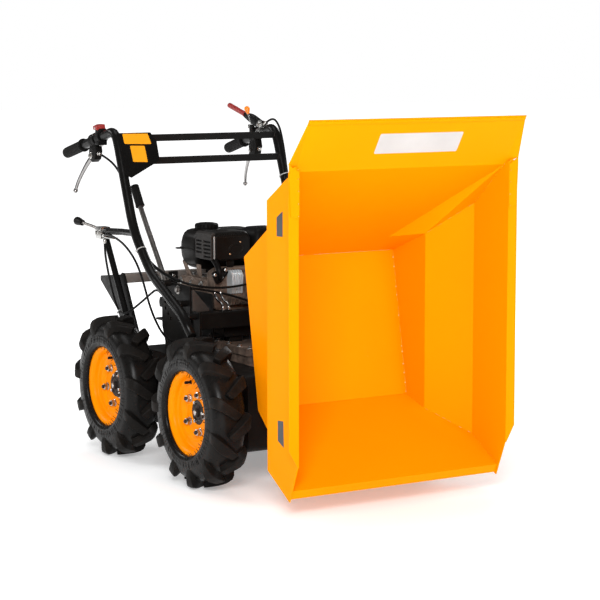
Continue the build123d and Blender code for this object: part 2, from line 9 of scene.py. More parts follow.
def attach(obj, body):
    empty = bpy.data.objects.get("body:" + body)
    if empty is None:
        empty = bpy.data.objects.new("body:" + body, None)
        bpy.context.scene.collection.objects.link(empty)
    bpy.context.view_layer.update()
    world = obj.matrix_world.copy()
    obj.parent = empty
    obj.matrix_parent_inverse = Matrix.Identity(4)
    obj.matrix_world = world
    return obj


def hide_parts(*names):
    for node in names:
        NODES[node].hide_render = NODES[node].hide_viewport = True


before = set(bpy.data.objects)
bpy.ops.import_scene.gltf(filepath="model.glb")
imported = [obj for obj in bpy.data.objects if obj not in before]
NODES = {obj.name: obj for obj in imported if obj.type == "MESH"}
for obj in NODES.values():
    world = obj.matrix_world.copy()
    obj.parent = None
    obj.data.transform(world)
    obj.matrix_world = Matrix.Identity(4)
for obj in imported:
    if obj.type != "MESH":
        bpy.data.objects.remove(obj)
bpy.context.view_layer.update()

SY = 182.5            # front axle ahead of the origin, mm
pi, cos, sin = math.pi, math.cos, math.sin
rnd = random.Random(7)


def W(p):
    """Machine millimetres (front axle at y 0) to metres in the shared frame."""
    return Vector((p[0] / 1000.0, (p[1] - SY) / 1000.0, p[2] / 1000.0))


# ------------------------------------------------------------------ camera
def make_camera():
    cam = bpy.data.cameras.new("camera")
    cam.lens, cam.sensor_width = 118.45, 36.0
    cam.clip_start, cam.clip_end = 0.05, 200.0
    o = bpy.data.objects.new("camera", cam)
    bpy.context.scene.collection.objects.link(o)
    a, e, roll = math.radians(-30.91), math.radians(7.30), math.radians(-0.064)
    back = Vector((sin(a) * cos(e), -cos(a) * cos(e), sin(e)))
    o.rotation_mode = "QUATERNION"
    q = (-back).to_track_quat("-Z", "Y")
    o.rotation_quaternion = q @ Quaternion((0, 0, 1), roll)
    o.location = (-2.8048, -4.8531, 1.1885)
    bpy.context.scene.camera = o
    return o


make_camera()


# ------------------------------------------------------------------ materials
def nodes_of(name):
    m = bpy.data.materials.new(name)
    m.use_nodes = True
    t = m.node_tree
    b = t.nodes["Principled BSDF"]
    return m, t, b


def noise(t, co, scale, detail=4.0, rough=0.55, dist=0.0):
    n = t.nodes.new("ShaderNodeTexNoise")
    n.inputs["Scale"].default_value = scale
    n.inputs["Detail"].default_value = detail
    n.inputs["Roughness"].default_value = rough
    n.inputs["Distortion"].default_value = dist
    t.links.new(co, n.inputs["Vector"])
    return n.outputs["Fac"]


def ramp(t, fac, stops):
    r = t.nodes.new("ShaderNodeValToRGB")
    el = r.color_ramp.elements
    while len(el) < len(stops):
        el.new(0.5)
    for e, (p, c) in zip(el, stops):
        e.position = p
        e.color = (*c, 1.0) if len(c) == 3 else c
    t.links.new(fac, r.inputs["Fac"])
    return r.outputs["Color"]


def remap(t, v, a, b, c, d):
    n = t.nodes.new("ShaderNodeMapRange")
    for k, x in zip(("From Min", "From Max", "To Min", "To Max"), (a, b, c, d)):
        n.inputs[k].default_value = x
    t.links.new(v, n.inputs["Value"])
    return n.outputs["Result"]


def math2(t, op, a, b):
    n = t.nodes.new("ShaderNodeMath")
    n.operation = op
    for i, x in enumerate((a, b)):
        if hasattr(x, "default_value"):
            t.links.new(x, n.inputs[i])
        else:
            n.inputs[i].default_value = x
    return n.outputs[0]


def mix(t, fac, a, b):
    n = t.nodes.new("ShaderNodeMix")
    n.data_type = "RGBA"
    t.links.new(fac, n.inputs[0])
    for i, x in ((6, a), (7, b)):
        if hasattr(x, "default_value"):
            t.links.new(x, n.inputs[i])
        else:
            n.inputs[i].default_value = (*x, 1.0)
    return n.outputs[2]


def bump(t, h, strength, dist, normal=None):
    n = t.nodes.new("ShaderNodeBump")
    n.inputs["Strength"].default_value = strength
    n.inputs["Distance"].default_value = dist
    t.links.new(h, n.inputs["Height"])
    if normal is not None:
        t.links.new(normal, n.inputs["Normal"])
    return n.outputs["Normal"]


def edge_mask(t, radius):
    """1 near edges, 0 on open faces."""
    b = t.nodes.new("ShaderNodeBevel")
    b.samples = 4
    b.inputs["Radius"].default_value = radius
    g = t.nodes.new("ShaderNodeNewGeometry")
    d = t.nodes.new("ShaderNodeVectorMath")
    d.operation = "DOT_PRODUCT"
    t.links.new(b.outputs[0], d.inputs[0])
    t.links.new(g.outputs["Normal"], d.inputs[1])
    return remap(t, d.outputs["Value"], 0.995, 0.80, 0.0, 1.0)


def surface(name, col, var=0.12, rough=0.45, rvar=0.08, metal=0.0, fine=(500.0, 0.06, 0.0004), coarse=None, vscale=5.0,
            coat=0.0, coat_rough=0.2, edge=None, dust=None, spec=0.5, tint=None):
    """Painted, moulded or cast surface: colour drift, roughness drift, grain, lighter edges that are part wear and part
    painted highlight, and a little dust.
    """
    m, t, b = nodes_of(name)
    co = t.nodes.new("ShaderNodeTexCoord").outputs["Object"]
    lo = tuple(max(0.0, c * (1 - var)) for c in col)
    hi = tuple(min(1.0, c * (1 + var)) for c in col)
    if tint:
        hi = tint
    c = ramp(t, noise(t, co, vscale, 5.0, 0.6), [(0.3, lo), (0.5, col), (0.72, hi)])
    if dust:
        dcol, amount, dscale = dust
        f = remap(t, noise(t, co, dscale, 7.0, 0.68, 0.3), 0.48, 0.74, 0.0, amount)
        c = mix(t, f, c, dcol)
    # lighter colour along the edges: part wear, part painted highlight from the bevels
    if edge:
        ecol, amount, radius = edge
        f = math2(t, "MULTIPLY", edge_mask(t, radius), remap(t, noise(t, co, 90.0, 5.0, 0.7), 0.38, 0.62, 0.15, amount))
        c = mix(t, f, c, ecol)
    t.links.new(c, b.inputs["Base Color"])
    r = remap(t, noise(t, co, max(vscale * 4, 12.0), 6.0, 0.6), 0.3, 0.7, max(0.02, rough - rvar), min(1.0, rough + rvar))
    t.links.new(r, b.inputs["Roughness"])
    nrm = bump(t, noise(t, co, fine[0], 3.0, 0.5), fine[1], fine[2])
    if coarse:
        nrm = bump(t, noise(t, co, coarse[0], 4.0, 0.6), coarse[1], coarse[2], nrm)
    t.links.new(nrm, b.inputs["Normal"])
    b.inputs["Metallic"].default_value = metal
    b.inputs["Specular IOR Level"].default_value = spec
    b.inputs["Coat Weight"].default_value = coat
    b.inputs["Coat Roughness"].default_value = coat_rough
    return m


# the edge colours below are lighter than each base colour: part wear, part painted highlight along the edges
ORANGE = (1.0, 0.30, 0.0)
M_TRAY = surface("tray_powder_coat", ORANGE, 0.03, 0.42, 0.05, fine=(900.0, 0.10, 0.0003), coarse=(220.0, 0.10, 0.0006), vscale=2.4,
                 edge=((1.0, 0.40, 0.004), 0.35, 0.0022), spec=0.02)
M_RIM = surface("rim_powder_coat", (1.0, 0.28, 0.0), 0.04, 0.30, 0.05, fine=(700.0, 0.05, 0.0003), coarse=(160.0, 0.05, 0.0006), vscale=9.0,
                edge=((1.0, 0.38, 0.01), 0.3, 0.0015), spec=0.05)
M_FRAME = surface("frame_satin_black", (0.0062, 0.0058, 0.0055), 0.22, 0.40, 0.08, fine=(800.0, 0.10, 0.0003), coarse=(140.0, 0.08, 0.0008), vscale=6.0,
                  edge=((0.060, 0.054, 0.049), 0.5, 0.0016), dust=((0.018, 0.015, 0.0125), 0.35, 9.0), spec=0.06)
M_BAR = surface("bar_satin_black", (0.0052, 0.0050, 0.0048), 0.2, 0.26, 0.06, fine=(900.0, 0.08, 0.0002), vscale=8.0,
                edge=((0.045, 0.042, 0.039), 0.4, 0.0012), dust=((0.014, 0.012, 0.011), 0.2, 14.0), spec=0.12)
M_PLASTIC = surface("moulded_black", (0.0055, 0.0052, 0.0050), 0.2, 0.44, 0.06, fine=(1400.0, 0.22, 0.0003), vscale=10.0,
                    edge=((0.03, 0.027, 0.025), 0.35, 0.001), spec=0.07)
M_ENGBLK = surface("engine_black_enamel", (0.0058, 0.0052, 0.0048), 0.2, 0.34, 0.07, fine=(900.0, 0.12, 0.0003), coarse=(180.0, 0.06, 0.0006), vscale=12.0,
                   edge=((0.050, 0.042, 0.036), 0.5, 0.0014), dust=((0.015, 0.012, 0.0095), 0.3, 16.0), spec=0.08)
# light grey stand-in for the highlight on the silencer shell's rounded front edge: painted highlight
M_PAINTED_HIGHLIGHT_STRIP = surface("painted_highlight_strip", (0.30, 0.29, 0.28), 0.12, 0.3, 0.06, metal=0.1, fine=(900.0, 0.1, 0.0002), vscale=30.0)
M_GUARD = surface("guard_black_enamel", (0.028, 0.0255, 0.024), 0.2, 0.42, 0.07, fine=(900.0, 0.12, 0.0003), coarse=(180.0, 0.06, 0.0006), vscale=12.0,
                  edge=((0.10, 0.09, 0.085), 0.5, 0.0012), dust=((0.050, 0.043, 0.037), 0.4, 16.0), spec=0.12)
# rear bar lighter grey than the black frame; its much lighter edges are painted highlight
M_GREYBAR = surface("rear_bar_light_grey", (0.20, 0.175, 0.158), 0.22, 0.45, 0.08, metal=0.15, fine=(800.0, 0.14, 0.0003), coarse=(160.0, 0.10, 0.0008), vscale=14.0,
                    edge=((0.40, 0.37, 0.34), 0.5, 0.0016), dust=((0.10, 0.08, 0.066), 0.4, 18.0))
M_CAST = surface("cast_aluminium", (0.150, 0.108, 0.084), 0.55, 0.55, 0.1, metal=0.15, fine=(900.0, 0.4, 0.0005), coarse=(260.0, 0.35, 0.0010), vscale=34.0,
                 edge=((0.42, 0.36, 0.31), 0.6, 0.0016), dust=((0.034, 0.022, 0.016), 0.8, 60.0), spec=0.2)
M_FIN = surface("fin_aluminium", (0.62, 0.66, 0.68), 0.14, 0.34, 0.08, metal=0.35, fine=(700.0, 0.15, 0.0003), vscale=30.0)
M_ZINC = surface("zinc_plate", (0.50, 0.50, 0.49), 0.14, 0.30, 0.09, metal=1.0, fine=(900.0, 0.10, 0.0002), vscale=40.0,
                 edge=((0.75, 0.75, 0.74), 0.5, 0.0008), dust=((0.20, 0.17, 0.14), 0.35, 60.0))
M_POLISH = surface("lever_polished", (0.34, 0.33, 0.325), 0.12, 0.17, 0.05, metal=1.0, fine=(1200.0, 0.05, 0.0002), vscale=45.0)
M_DARKST = surface("hub_dark_steel", (0.030, 0.026, 0.024), 0.35, 0.45, 0.1, metal=0.3, spec=0.2, fine=(600.0, 0.3, 0.0004), coarse=(160.0, 0.2, 0.0008), vscale=30.0,
                   edge=((0.12, 0.11, 0.10), 0.5, 0.001), dust=((0.05, 0.034, 0.025), 0.5, 40.0))
M_STEEL = surface("rod_dull_steel", (0.30, 0.28, 0.265), 0.18, 0.34, 0.08, metal=1.0, fine=(900.0, 0.12, 0.0002), vscale=30.0, dust=((0.12, 0.10, 0.085), 0.4, 40.0))
M_BOLT = surface("bolt_zinc", (0.50, 0.49, 0.47), 0.2, 0.27, 0.1, metal=1.0, fine=(1500.0, 0.15, 0.0002), vscale=80.0,
                 edge=((0.8, 0.8, 0.8), 0.6, 0.0006), dust=((0.16, 0.12, 0.09), 0.4, 90.0))
M_COPPER = surface("bolt_yellow_zinc", (0.50, 0.30, 0.16), 0.2, 0.30, 0.1, metal=1.0, fine=(1500.0, 0.15, 0.0002), vscale=80.0)
M_RUBBER = surface("grip_rubber", (0.0078, 0.0075, 0.0072), 0.2, 0.62, 0.08, fine=(1300.0, 0.35, 0.0004), vscale=20.0,
                   edge=((0.04, 0.038, 0.036), 0.4, 0.001), spec=0.07)
M_CABLE = surface("cable_sheath", (0.0060, 0.0058, 0.0056), 0.15, 0.34, 0.05, fine=(1500.0, 0.12, 0.0002), vscale=30.0, spec=0.10)
M_RED = surface("red_plastic", (0.30, 0.015, 0.012), 0.12, 0.40, 0.06, fine=(900.0, 0.12, 0.0003), vscale=30.0)
M_KNOB = surface("orange_plastic", (0.95, 0.24, 0.005), 0.08, 0.32, 0.05, fine=(900.0, 0.08, 0.0003), vscale=40.0)
M_STRIPE = surface("slate_decal", (0.028, 0.032, 0.040), 0.10, 0.34, 0.04, fine=(600.0, 0.05, 0.0002), vscale=14.0, edge=((0.06, 0.062, 0.066), 0.3, 0.0006))
M_LABEL = surface("blank_label", (0.52, 0.52, 0.51), 0.06, 0.38, 0.05, metal=0.1, fine=(700.0, 0.06, 0.0002), vscale=12.0)
M_STICKER = surface("blank_sticker", (0.90, 0.36, 0.0), 0.03, 0.36, 0.04, fine=(600.0, 0.05, 0.0002), vscale=16.0)
M_TIE = surface("nylon_tie", (0.46, 0.46, 0.45), 0.06, 0.42, 0.05, fine=(900.0, 0.1, 0.0002), vscale=40.0)
M_WELD = surface("weld_bead_painted", ORANGE, 0.06, 0.26, 0.06, fine=(700.0, 0.25, 0.0004), vscale=60.0, spec=0.5)
# pale orange-white beads: painted specular glints on the welds
M_WELD_PAINTED_GLINT = surface("weld_painted_glint", (1.0, 0.62, 0.22), 0.15, 0.22, 0.06, fine=(700.0, 0.25, 0.0004), vscale=60.0, spec=0.6)
# lighter black for the lit gusset fronts: painted light
M_GUSSET_PAINTED_LIT = surface("gusset_black_painted_lit", (0.050, 0.044, 0.040), 0.25, 0.42, 0.08, fine=(800.0, 0.12, 0.0003), coarse=(150.0, 0.1, 0.0008), vscale=18.0,
                   edge=((0.14, 0.125, 0.115), 0.6, 0.0016), dust=((0.075, 0.062, 0.052), 0.4, 20.0), spec=0.12)
M_WELDB = surface("weld_bead_black", (0.009, 0.0083, 0.0078), 0.3, 0.36, 0.08, fine=(700.0, 0.3, 0.0004), vscale=60.0, spec=0.25)
M_TYRE = surface("tyre_carcass", (0.0070, 0.0065, 0.0061), 0.25, 0.30, 0.07, fine=(700.0, 0.16, 0.0004), coarse=(120.0, 0.10, 0.0012), vscale=14.0,
                 dust=((0.016, 0.0135, 0.0115), 0.5, 22.0), spec=0.12)
M_LUG = surface("tyre_lug", (0.0082, 0.0073, 0.0066), 0.28, 0.50, 0.1, fine=(600.0, 0.35, 0.0006), coarse=(110.0, 0.18, 0.0014), vscale=16.0,
                dust=((0.024, 0.018, 0.0142), 0.6, 20.0), edge=((0.034, 0.028, 0.024), 0.5, 0.002), spec=0.07)
M_BELT = surface("belt_rubber", (0.012, 0.012, 0.012), 0.2, 0.6, 0.1, fine=(500.0, 0.3, 0.0004), vscale=20.0)
M_IRON = surface("pulley_iron", (0.46, 0.45, 0.44), 0.25, 0.28, 0.1, metal=1.0, fine=(700.0, 0.12, 0.0003), vscale=40.0, dust=((0.12, 0.09, 0.07), 0.4, 50.0))


# ------------------------------------------------------------------ mesh tools (all in machine millimetres)
def from_bm(b):
    b.verts.index_update()
    g = ([v.co.copy() for v in b.verts], [[v.index for v in f.verts] for f in b.faces])
    b.free()
    return g


def bevel_all(b, r, seg):
    if r > 0:
        bmesh.ops.bevel(b, geom=b.edges[:], offset=r, offset_type="OFFSET", segments=seg, profile=0.5, affect="EDGES", clamp_overlap=True)


def rbox(x0, x1, y0, y1, z0, z1, r=1.0, seg=2):
    b = bmesh.new()
    bmesh.ops.create_cube(b, size=1.0)
    for v in b.verts:
        v.co = Vector(((x0 + x1) / 2 + v.co.x * (x1 - x0), (y0 + y1) / 2 + v.co.y * (y1 - y0), (z0 + z1) / 2 + v.co.z * (z1 - z0)))
    bevel_all(b, r, seg)
    return from_bm(b)


def slab(points, vec, r=0.5, seg=2):
    """A flat polygon pushed along vec, with rounded edges."""
    b = bmesh.new()
    vec = Vector(vec)
    lo = [b.verts.new(Vector(p)) for p in points]
    hi = [b.verts.new(Vector(p) + vec) for p in points]
    n = len(points)
    b.faces.new(lo)
    b.faces.new(hi[::-1])
    for i in range(n):
        j = (i + 1) % n
        b.faces.new((lo[i], hi[i], hi[j], lo[j]))
    bmesh.ops.recalc_face_normals(b, faces=b.faces[:])
    if r > 0:
        keep = [e for e in b.edges if e.is_manifold and e.calc_face_angle(0) > 0.4]
        bmesh.ops.bevel(b, geom=keep, offset=r, offset_type="OFFSET", segments=seg, profile=0.5, affect="EDGES", clamp_overlap=True)
    return from_bm(b)


def prism(pts, axis, a, b, r=0.6, seg=2):
    def P(u, v):
        return {"x": (a, u, v), "y": (u, a, v), "z": (u, v, a)}[axis]
    d = b - a
    return slab([P(u, v) for u, v in pts], {"x": (d, 0, 0), "y": (0, d, 0), "z": (0, 0, d)}[axis], r, seg)


def corner(pts, r, n=5):
    """2-D polygon with rounded corners; r is a number or one per corner."""
    out = []
    k = len(pts)
    for i in range(k):
        p, a, c = Vector(pts[i]), Vector(pts[i - 1]), Vector(pts[(i + 1) % k])
        rr = r[i] if isinstance(r, (list, tuple)) else r
        u, w = (a - p).normalized(), (c - p).normalized()
        ang = u.angle(w)
        if rr <= 0 or ang > pi - 0.05:
            out.append((p.x, p.y))
            continue
        d = min(rr / math.tan(ang / 2), 0.48 * (a - p).length, 0.48 * (c - p).length)
        rr = d * math.tan(ang / 2)
        m = p + (u + w).normalized() * (rr / sin(ang / 2))
        s, e = p + u * d - m, p + w * d - m
        tot = s.angle(e)
        sign = 1 if s.x * e.y - s.y * e.x > 0 else -1
        for q in range(n + 1):
            t = sign * tot * q / n
            out.append((m.x + s.x * cos(t) - s.y * sin(t), m.y + s.x * sin(t) + s.y * cos(t)))
    return out


def basis(d, up=None):
    d = Vector(d).normalized()
    u = Vector(up) if up is not None else d.orthogonal()
    u = (u - d * u.dot(d)).normalized()
    return u, d.cross(u), d


def lathe(prof, p, d, n=32, closed=False, lobes=None, up=None, phase=0.0):
    """Turns (distance along d, radius) points about the line p, d. lobes(angle, i) may scale a ring."""
    u, w, d = basis(d, up)
    p = Vector(p)
    verts, rings = [], []
    for i, (a, r) in enumerate(prof):
        if r < 1e-6:
            rings.append([len(verts)])
            verts.append(p + d * a)
            continue
        ring = []
        for k in range(n):
            t = 2 * pi * k / n + phase
            q = r * (lobes(t, i) if lobes else 1.0)
            ring.append(len(verts))
            verts.append(p + d * a + (u * cos(t) + w * sin(t)) * q)
        rings.append(ring)
    faces = []
    for A, B in list(zip(rings, rings[1:])) + ([(rings[-1], rings[0])] if closed else []):
        if len(A) == 1 and len(B) == 1:
            continue
        for k in range(n):
            j = (k + 1) % n
            if len(A) == 1:
                faces.append([A[0], B[k], B[j]])
            elif len(B) == 1:
                faces.append([A[k], B[0], A[j]])
            else:
                faces.append([A[k], B[k], B[j], A[j]])
    if not closed:
        for R in (rings[0], rings[-1]):
            if len(R) > 1:
                faces.append(R[:])
    return verts, faces


def cyl(p, q, r, c=0.5, n=24, r2=None):
    p, q = Vector(p), Vector(q)
    L = (q - p).length
    r2 = r if r2 is None else r2
    c = min(c, L / 3, r * 0.6)
    return lathe([(0, r - c), (c * 0.3, r - c * 0.3), (c, r), (L - c, r2), (L - c * 0.3, r2 - c * 0.3), (L, r2 - c)], p, q - p, n)


def ball(p, r, n=20, m=10, squash=1.0, d=(0, 0, 1)):
    prof = [(-r * squash * cos(pi * k / m), r * sin(pi * k / m)) for k in range(m + 1)]
    prof[0], prof[-1] = (-r * squash, 0.0), (r * squash, 0.0)
    return lathe(prof, p, d, n)


def hexa(p, d, af, h, n_ch=1.0, up=None, phase=0.0):
    R = af / math.sqrt(3.0)
    return lathe([(0, R), (h - n_ch * 0.9, R), (h, R - n_ch * 1.3)], p, d, 6, up=up, phase=phase)


def smooth_line(points, per=8):
    """Points along a smooth curve through the given ones."""
    P = [Vector(p) for p in points]
    P = [P[0] * 2 - P[1]] + P + [P[-1] * 2 - P[-2]]
    out = []
    for i in range(1, len(P) - 2):
        a, b, c, d = P[i - 1], P[i], P[i + 1], P[i + 2]
        for k in range(per):
            t = k / per
            out.append(0.5 * ((2 * b) + (c - a) * t + (2 * a - 5 * b + 4 * c - d) * t * t + (3 * b - a - 3 * c + d) * t ** 3))
    out.append(P[-2])
    return out


def sweep(points, section, ends=True, frame_x=None):
    """Moves a closed section [(u, v)] along points. section may be a function of the share of the length."""
    P = [Vector(p) for p in points]
    n = len(P)
    T = [(P[min(i + 1, n - 1)] - P[max(i - 1, 0)]).normalized() for i in range(n)]
    u = Vector(frame_x) if frame_x is not None else T[0].orthogonal()
    lens = [0.0]
    for a, b in zip(P, P[1:]):
        lens.append(lens[-1] + (b - a).length)
    verts, rings = [], []
    for i in range(n):
        u = (u - T[i] * u.dot(T[i])).normalized()
        v = T[i].cross(u)
        sec = section(lens[i] / lens[-1]) if callable(section) else section
        ring = []
        for a, b in sec:
            ring.append(len(verts))
            verts.append(P[i] + u * a + v * b)
        rings.append(ring)
    k = len(rings[0])
    faces = [[A[j], B[j], B[(j + 1) % k], A[(j + 1) % k]] for A, B in zip(rings, rings[1:]) for j in range(k)]
    if ends:
        faces += [rings[0][:], rings[-1][::-1]]
    return verts, faces


def circle(r, n=12, ry=None, ph=0.0):
    ry = r if ry is None else ry
    return [(r * cos(2 * pi * k / n + ph), ry * sin(2 * pi * k / n + ph)) for k in range(n)]


def pipe(points, r, n=14):
    return sweep(points, circle(r, n))


def bead(a, b, r=2.2, pitch=3.4, n=8):
    """A weld bead from a to b: overlapping ripples, thinner at the ends."""
    a, b = Vector(a), Vector(b)
    L = (b - a).length
    k = max(6, int(L / pitch * 3))
    amp = [0.8 + 0.35 * rnd.random() for _ in range(k + 1)]

    def sec(s):
        i = min(k, int(s * k))
        e = min(1.0, s * L / 4.0 + 0.35, (1 - s) * L / 4.0 + 0.35)
        q = r * e * (0.82 + 0.22 * abs(sin(pi * s * L / pitch))) * amp[i]
        return circle(q, n)
    return sweep([a.lerp(b, i / k) for i in range(k + 1)], sec)


def ring_loft(rings, cap=True):
    verts, idx = [], []
    for R in rings:
        idx.append(list(range(len(verts), len(verts) + len(R))))
        verts += [Vector(p) for p in R]
    k = len(idx[0])
    faces = [[A[j], B[j], B[(j + 1) % k], A[(j + 1) % k]] for A, B in zip(idx, idx[1:]) for j in range(k)]
    if cap:
        faces += [idx[0][:], idx[-1][::-1]]
    return verts, faces


def rrect(x0, x1, y0, y1, r, n=6):
    return corner([(x0, y0), (x1, y0), (x1, y1), (x0, y1)], r, n)


def lattice(us, vs, holes, place):
    """A plate on a grid of cells, with the cells in holes left open. place(u, v, side) gives a point."""
    nu, nv = len(us), len(vs)
    verts, faces, at = [], [], {}

    def V(i, j, s):
        if (i, j, s) not in at:
            at[(i, j, s)] = len(verts)
            verts.append(Vector(place(us[i], vs[j], s)))
        return at[(i, j, s)]
    solid = {(i, j) for i in range(nu - 1) for j in range(nv - 1)} - set(holes)
    for i, j in solid:
        q = [(i, j), (i + 1, j), (i + 1, j + 1), (i, j + 1)]
        faces.append([V(a, b, 0) for a, b in q])
        faces.append([V(a, b, 1) for a, b in reversed(q)])
        for (a, b), (c, d), nb in ((q[0], q[1], (i, j - 1)), (q[1], q[2], (i + 1, j)), (q[2], q[3], (i, j + 1)), (q[3], q[0], (i - 1, j))):
            if nb not in solid:
                faces.append([V(a, b, 0), V(a, b, 1), V(c, d, 1), V(c, d, 0)])
    return verts, faces


def cable_mesh(points, r, n=5):
    """A sheath along a smooth spline whose control points are the given ones."""
    cu = bpy.data.curves.new("line", "CURVE")
    cu.dimensions = "3D"
    cu.bevel_depth, cu.bevel_resolution, cu.resolution_u, cu.use_fill_caps = r, n, 14, True
    s = cu.splines.new("NURBS")
    s.points.add(len(points) - 1)
    for p, q in zip(s.points, points):
        p.co = (*q, 1.0)
    s.order_u = 3
    s.use_endpoint_u = True
    o = bpy.data.objects.new("line", cu)
    bpy.context.scene.collection.objects.link(o)
    dg = bpy.context.evaluated_depsgraph_get()
    me = bpy.data.meshes.new_from_object(o.evaluated_get(dg))
    g = ([v.co.copy() for v in me.vertices], [list(p.vertices) for p in me.polygons])
    bpy.data.objects.remove(o)
    bpy.data.curves.remove(cu)
    bpy.data.meshes.remove(me)
    return g


class Piece:
    def __init__(self, name):
        self.name, self.v, self.f, self.m, self.mats = name, [], [], [], []

    def add(self, geo, mat, M=None):
        k = len(self.v)
        if mat not in self.mats:
            self.mats.append(mat)
        i = self.mats.index(mat)
        self.v += [M @ Vector(p) for p in geo[0]] if M is not None else [Vector(p) for p in geo[0]]
        self.f += [[a + k for a in f] for f in geo[1]]
        self.m += [i] * len(geo[1])
        return self

    def both(self, geo, mat):
        """The part and its mirror image across the middle of the machine."""
        self.add(geo, mat)
        return self.add(([(-p[0], p[1], p[2]) for p in geo[0]], [f[::-1] for f in geo[1]]), mat)

    def bolt(self, p, d, af=13.0, mat=None, h=None, washer=True, stud=0.0, phase=0.3):
        mat = mat or M_BOLT
        p, d = Vector(p), Vector(d).normalized()
        h = h or af * 0.62
        o = 0.0
        if washer:
            self.add(lathe([(-0.5, af * 0.5), (-0.5, af * 1.02), (1.3, af * 1.02), (1.8, af * 0.94), (1.8, af * 0.5)], p, d, 24), mat)
            o = 1.8
        self.add(hexa(p + d * (o - 0.3), d, af, h, 0.9, phase=phase), mat)
        if stud:
            self.add(cyl(p + d * (o + h - 1), p + d * (o + h + stud), af * 0.30, 0.8, 14), mat)
        return self

    def done(self, body, replaces=(), sharp=33.0, world=False):
        me = bpy.data.meshes.new(self.name)
        me.from_pydata([p if world else W(p) for p in self.v], [], self.f)
        for m in self.mats:
            me.materials.append(m)
        me.polygons.foreach_set("material_index", self.m)
        b = bmesh.new()
        b.from_mesh(me)
        bmesh.ops.recalc_face_normals(b, faces=b.faces[:])
        b.to_mesh(me)
        b.free()
        me.polygons.foreach_set("use_smooth", [True] * len(me.polygons))
        me.set_sharp_from_angle(angle=math.radians(sharp))
        me.update()
        o = bpy.data.objects.new(self.name, me)
        bpy.context.scene.collection.objects.link(o)
        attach(o, body)
        if replaces:
            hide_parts(*replaces)
        return o


def finish_node(name, mat, width=0.0008, seg=2, angle=28.0, flat=0.6):
    """CAD shape as it is, with softened edges and its finish."""
    o = NODES[name]
    o.data.materials.clear()
    o.data.materials.append(mat)
    w = o.modifiers.new("weld", "WELD")
    w.merge_threshold = 0.00002
    d = o.modifiers.new("flat", "DECIMATE")
    d.decimate_type = "DISSOLVE"
    d.angle_limit = math.radians(flat)
    if width > 0:
        v = o.modifiers.new("edges", "BEVEL")
        v.width, v.segments, v.limit_method, v.angle_limit = width, seg, "ANGLE", math.radians(angle)
        v.use_clamp_overlap = True
        v.harden_normals = False
    n = o.modifiers.new("normals", "WEIGHTED_NORMAL")
    n.keep_sharp = False
    n.weight = 80
    return o


# ------------------------------------------------------------------ wheels
def curve_through(pts, m):
    """(r, x) points through a smooth profile, evenly by length, with their distances."""
    line = smooth_line([(p[0], p[1], 0.0) for p in pts], 10)
    L = [0.0]
    for a, b in zip(line, line[1:]):
        L.append(L[-1] + (b - a).length)
    return line, L


def sampler(pts):
    line, L = curve_through(pts, 0)

    def at(s):
        s = max(0.0, min(L[-1], s))
        for i in range(len(L) - 1):
            if s <= L[i + 1]:
                t = (s - L[i]) / max(1e-9, L[i + 1] - L[i])
                q = line[i].lerp(line[i + 1], t)
                return q.x, q.y
        return line[-1].x, line[-1].y
    return at, L[-1]


CARCASS = [(186.8, 0.0), (186.4, 14.0), (184.6, 26.0), (180.0, 36.0), (173.0, 43.5), (164.0, 48.4), (153.0, 50.4), (141.0, 49.8), (130.0, 47.4), (122.0, 44.2), (116.5, 41.6), (112.6, 40.2), (111.0, 38.9)]
ENVELOPE = [(204.8, 0.0), (204.7, 16.0), (203.9, 30.0), (201.6, 41.0), (196.0, 49.0), (186.0, 53.2), (174.0, 54.7), (161.0, 54.2), (150.0, 51.0)]
OUTER = [(186.8, 0.0), (186.4, 14.0), (184.6, 26.0), (180.0, 36.0), (173.0, 43.5), (164.0, 48.4), (155.0, 50.4), (146.0, 51.7), (137.0, 52.7), (129.0, 52.7), (122.6, 51.4), (118.0, 48.8),
         (115.4, 45.2), (114.9, 41.4)]
carcass_at, C_LEN = sampler(CARCASS)
outer_at, O_LEN = sampler(OUTER)
envelope_at, E_LEN = sampler(ENVELOPE)
C_END = 0.0
for k in range(400):      # carcass length that goes with the foot of the lug on the sidewall
    if carcass_at(C_LEN * k / 400)[0] < 150.5:
        C_END = C_LEN * k / 400
        break
LUGS = 11


def tyre_geo():
    """Carcass with its sidewall ribs about the X axis, outboard +X; forward is -Y."""
    n = 156

    def ribbed(half):
        out = []
        for r, x in half:
            g = 0.0
            for rr, hh, ww in ((128.0, 1.0, 2.2), (136.0, 0.7, 1.6), (145.5, 0.7, 1.4)):
                g += hh * math.exp(-((r - rr) / ww) ** 2)
            out.append((r, x + g))
        return out
    outer = ribbed([outer_at(O_LEN * k / 44) for k in range(45)])
    inner = ribbed([carcass_at(C_LEN * k / 36) for k in range(37)])
    prof = [(104.0, 28.5), (109.0, 32.6), (117.4, 35.4), (117.5, 39.2)] + outer[::-1] + [(r, -x) for r, x in inner[1:]] + [(112.0, -36.8), (109.0, -32.6), (104.0, -28.5)]
    verts, faces = [], []
    for k in range(n):
        t = 2 * pi * k / n
        verts += [Vector((x, -r * cos(t), r * sin(t))) for r, x in prof]
    m = len(prof)
    for k in range(n):
        A, B = k * m, ((k + 1) % n) * m
        for j in range(m):
            i = (j + 1) % m
            faces.append([A + j, A + i, B + i, B + j])
    return verts, faces


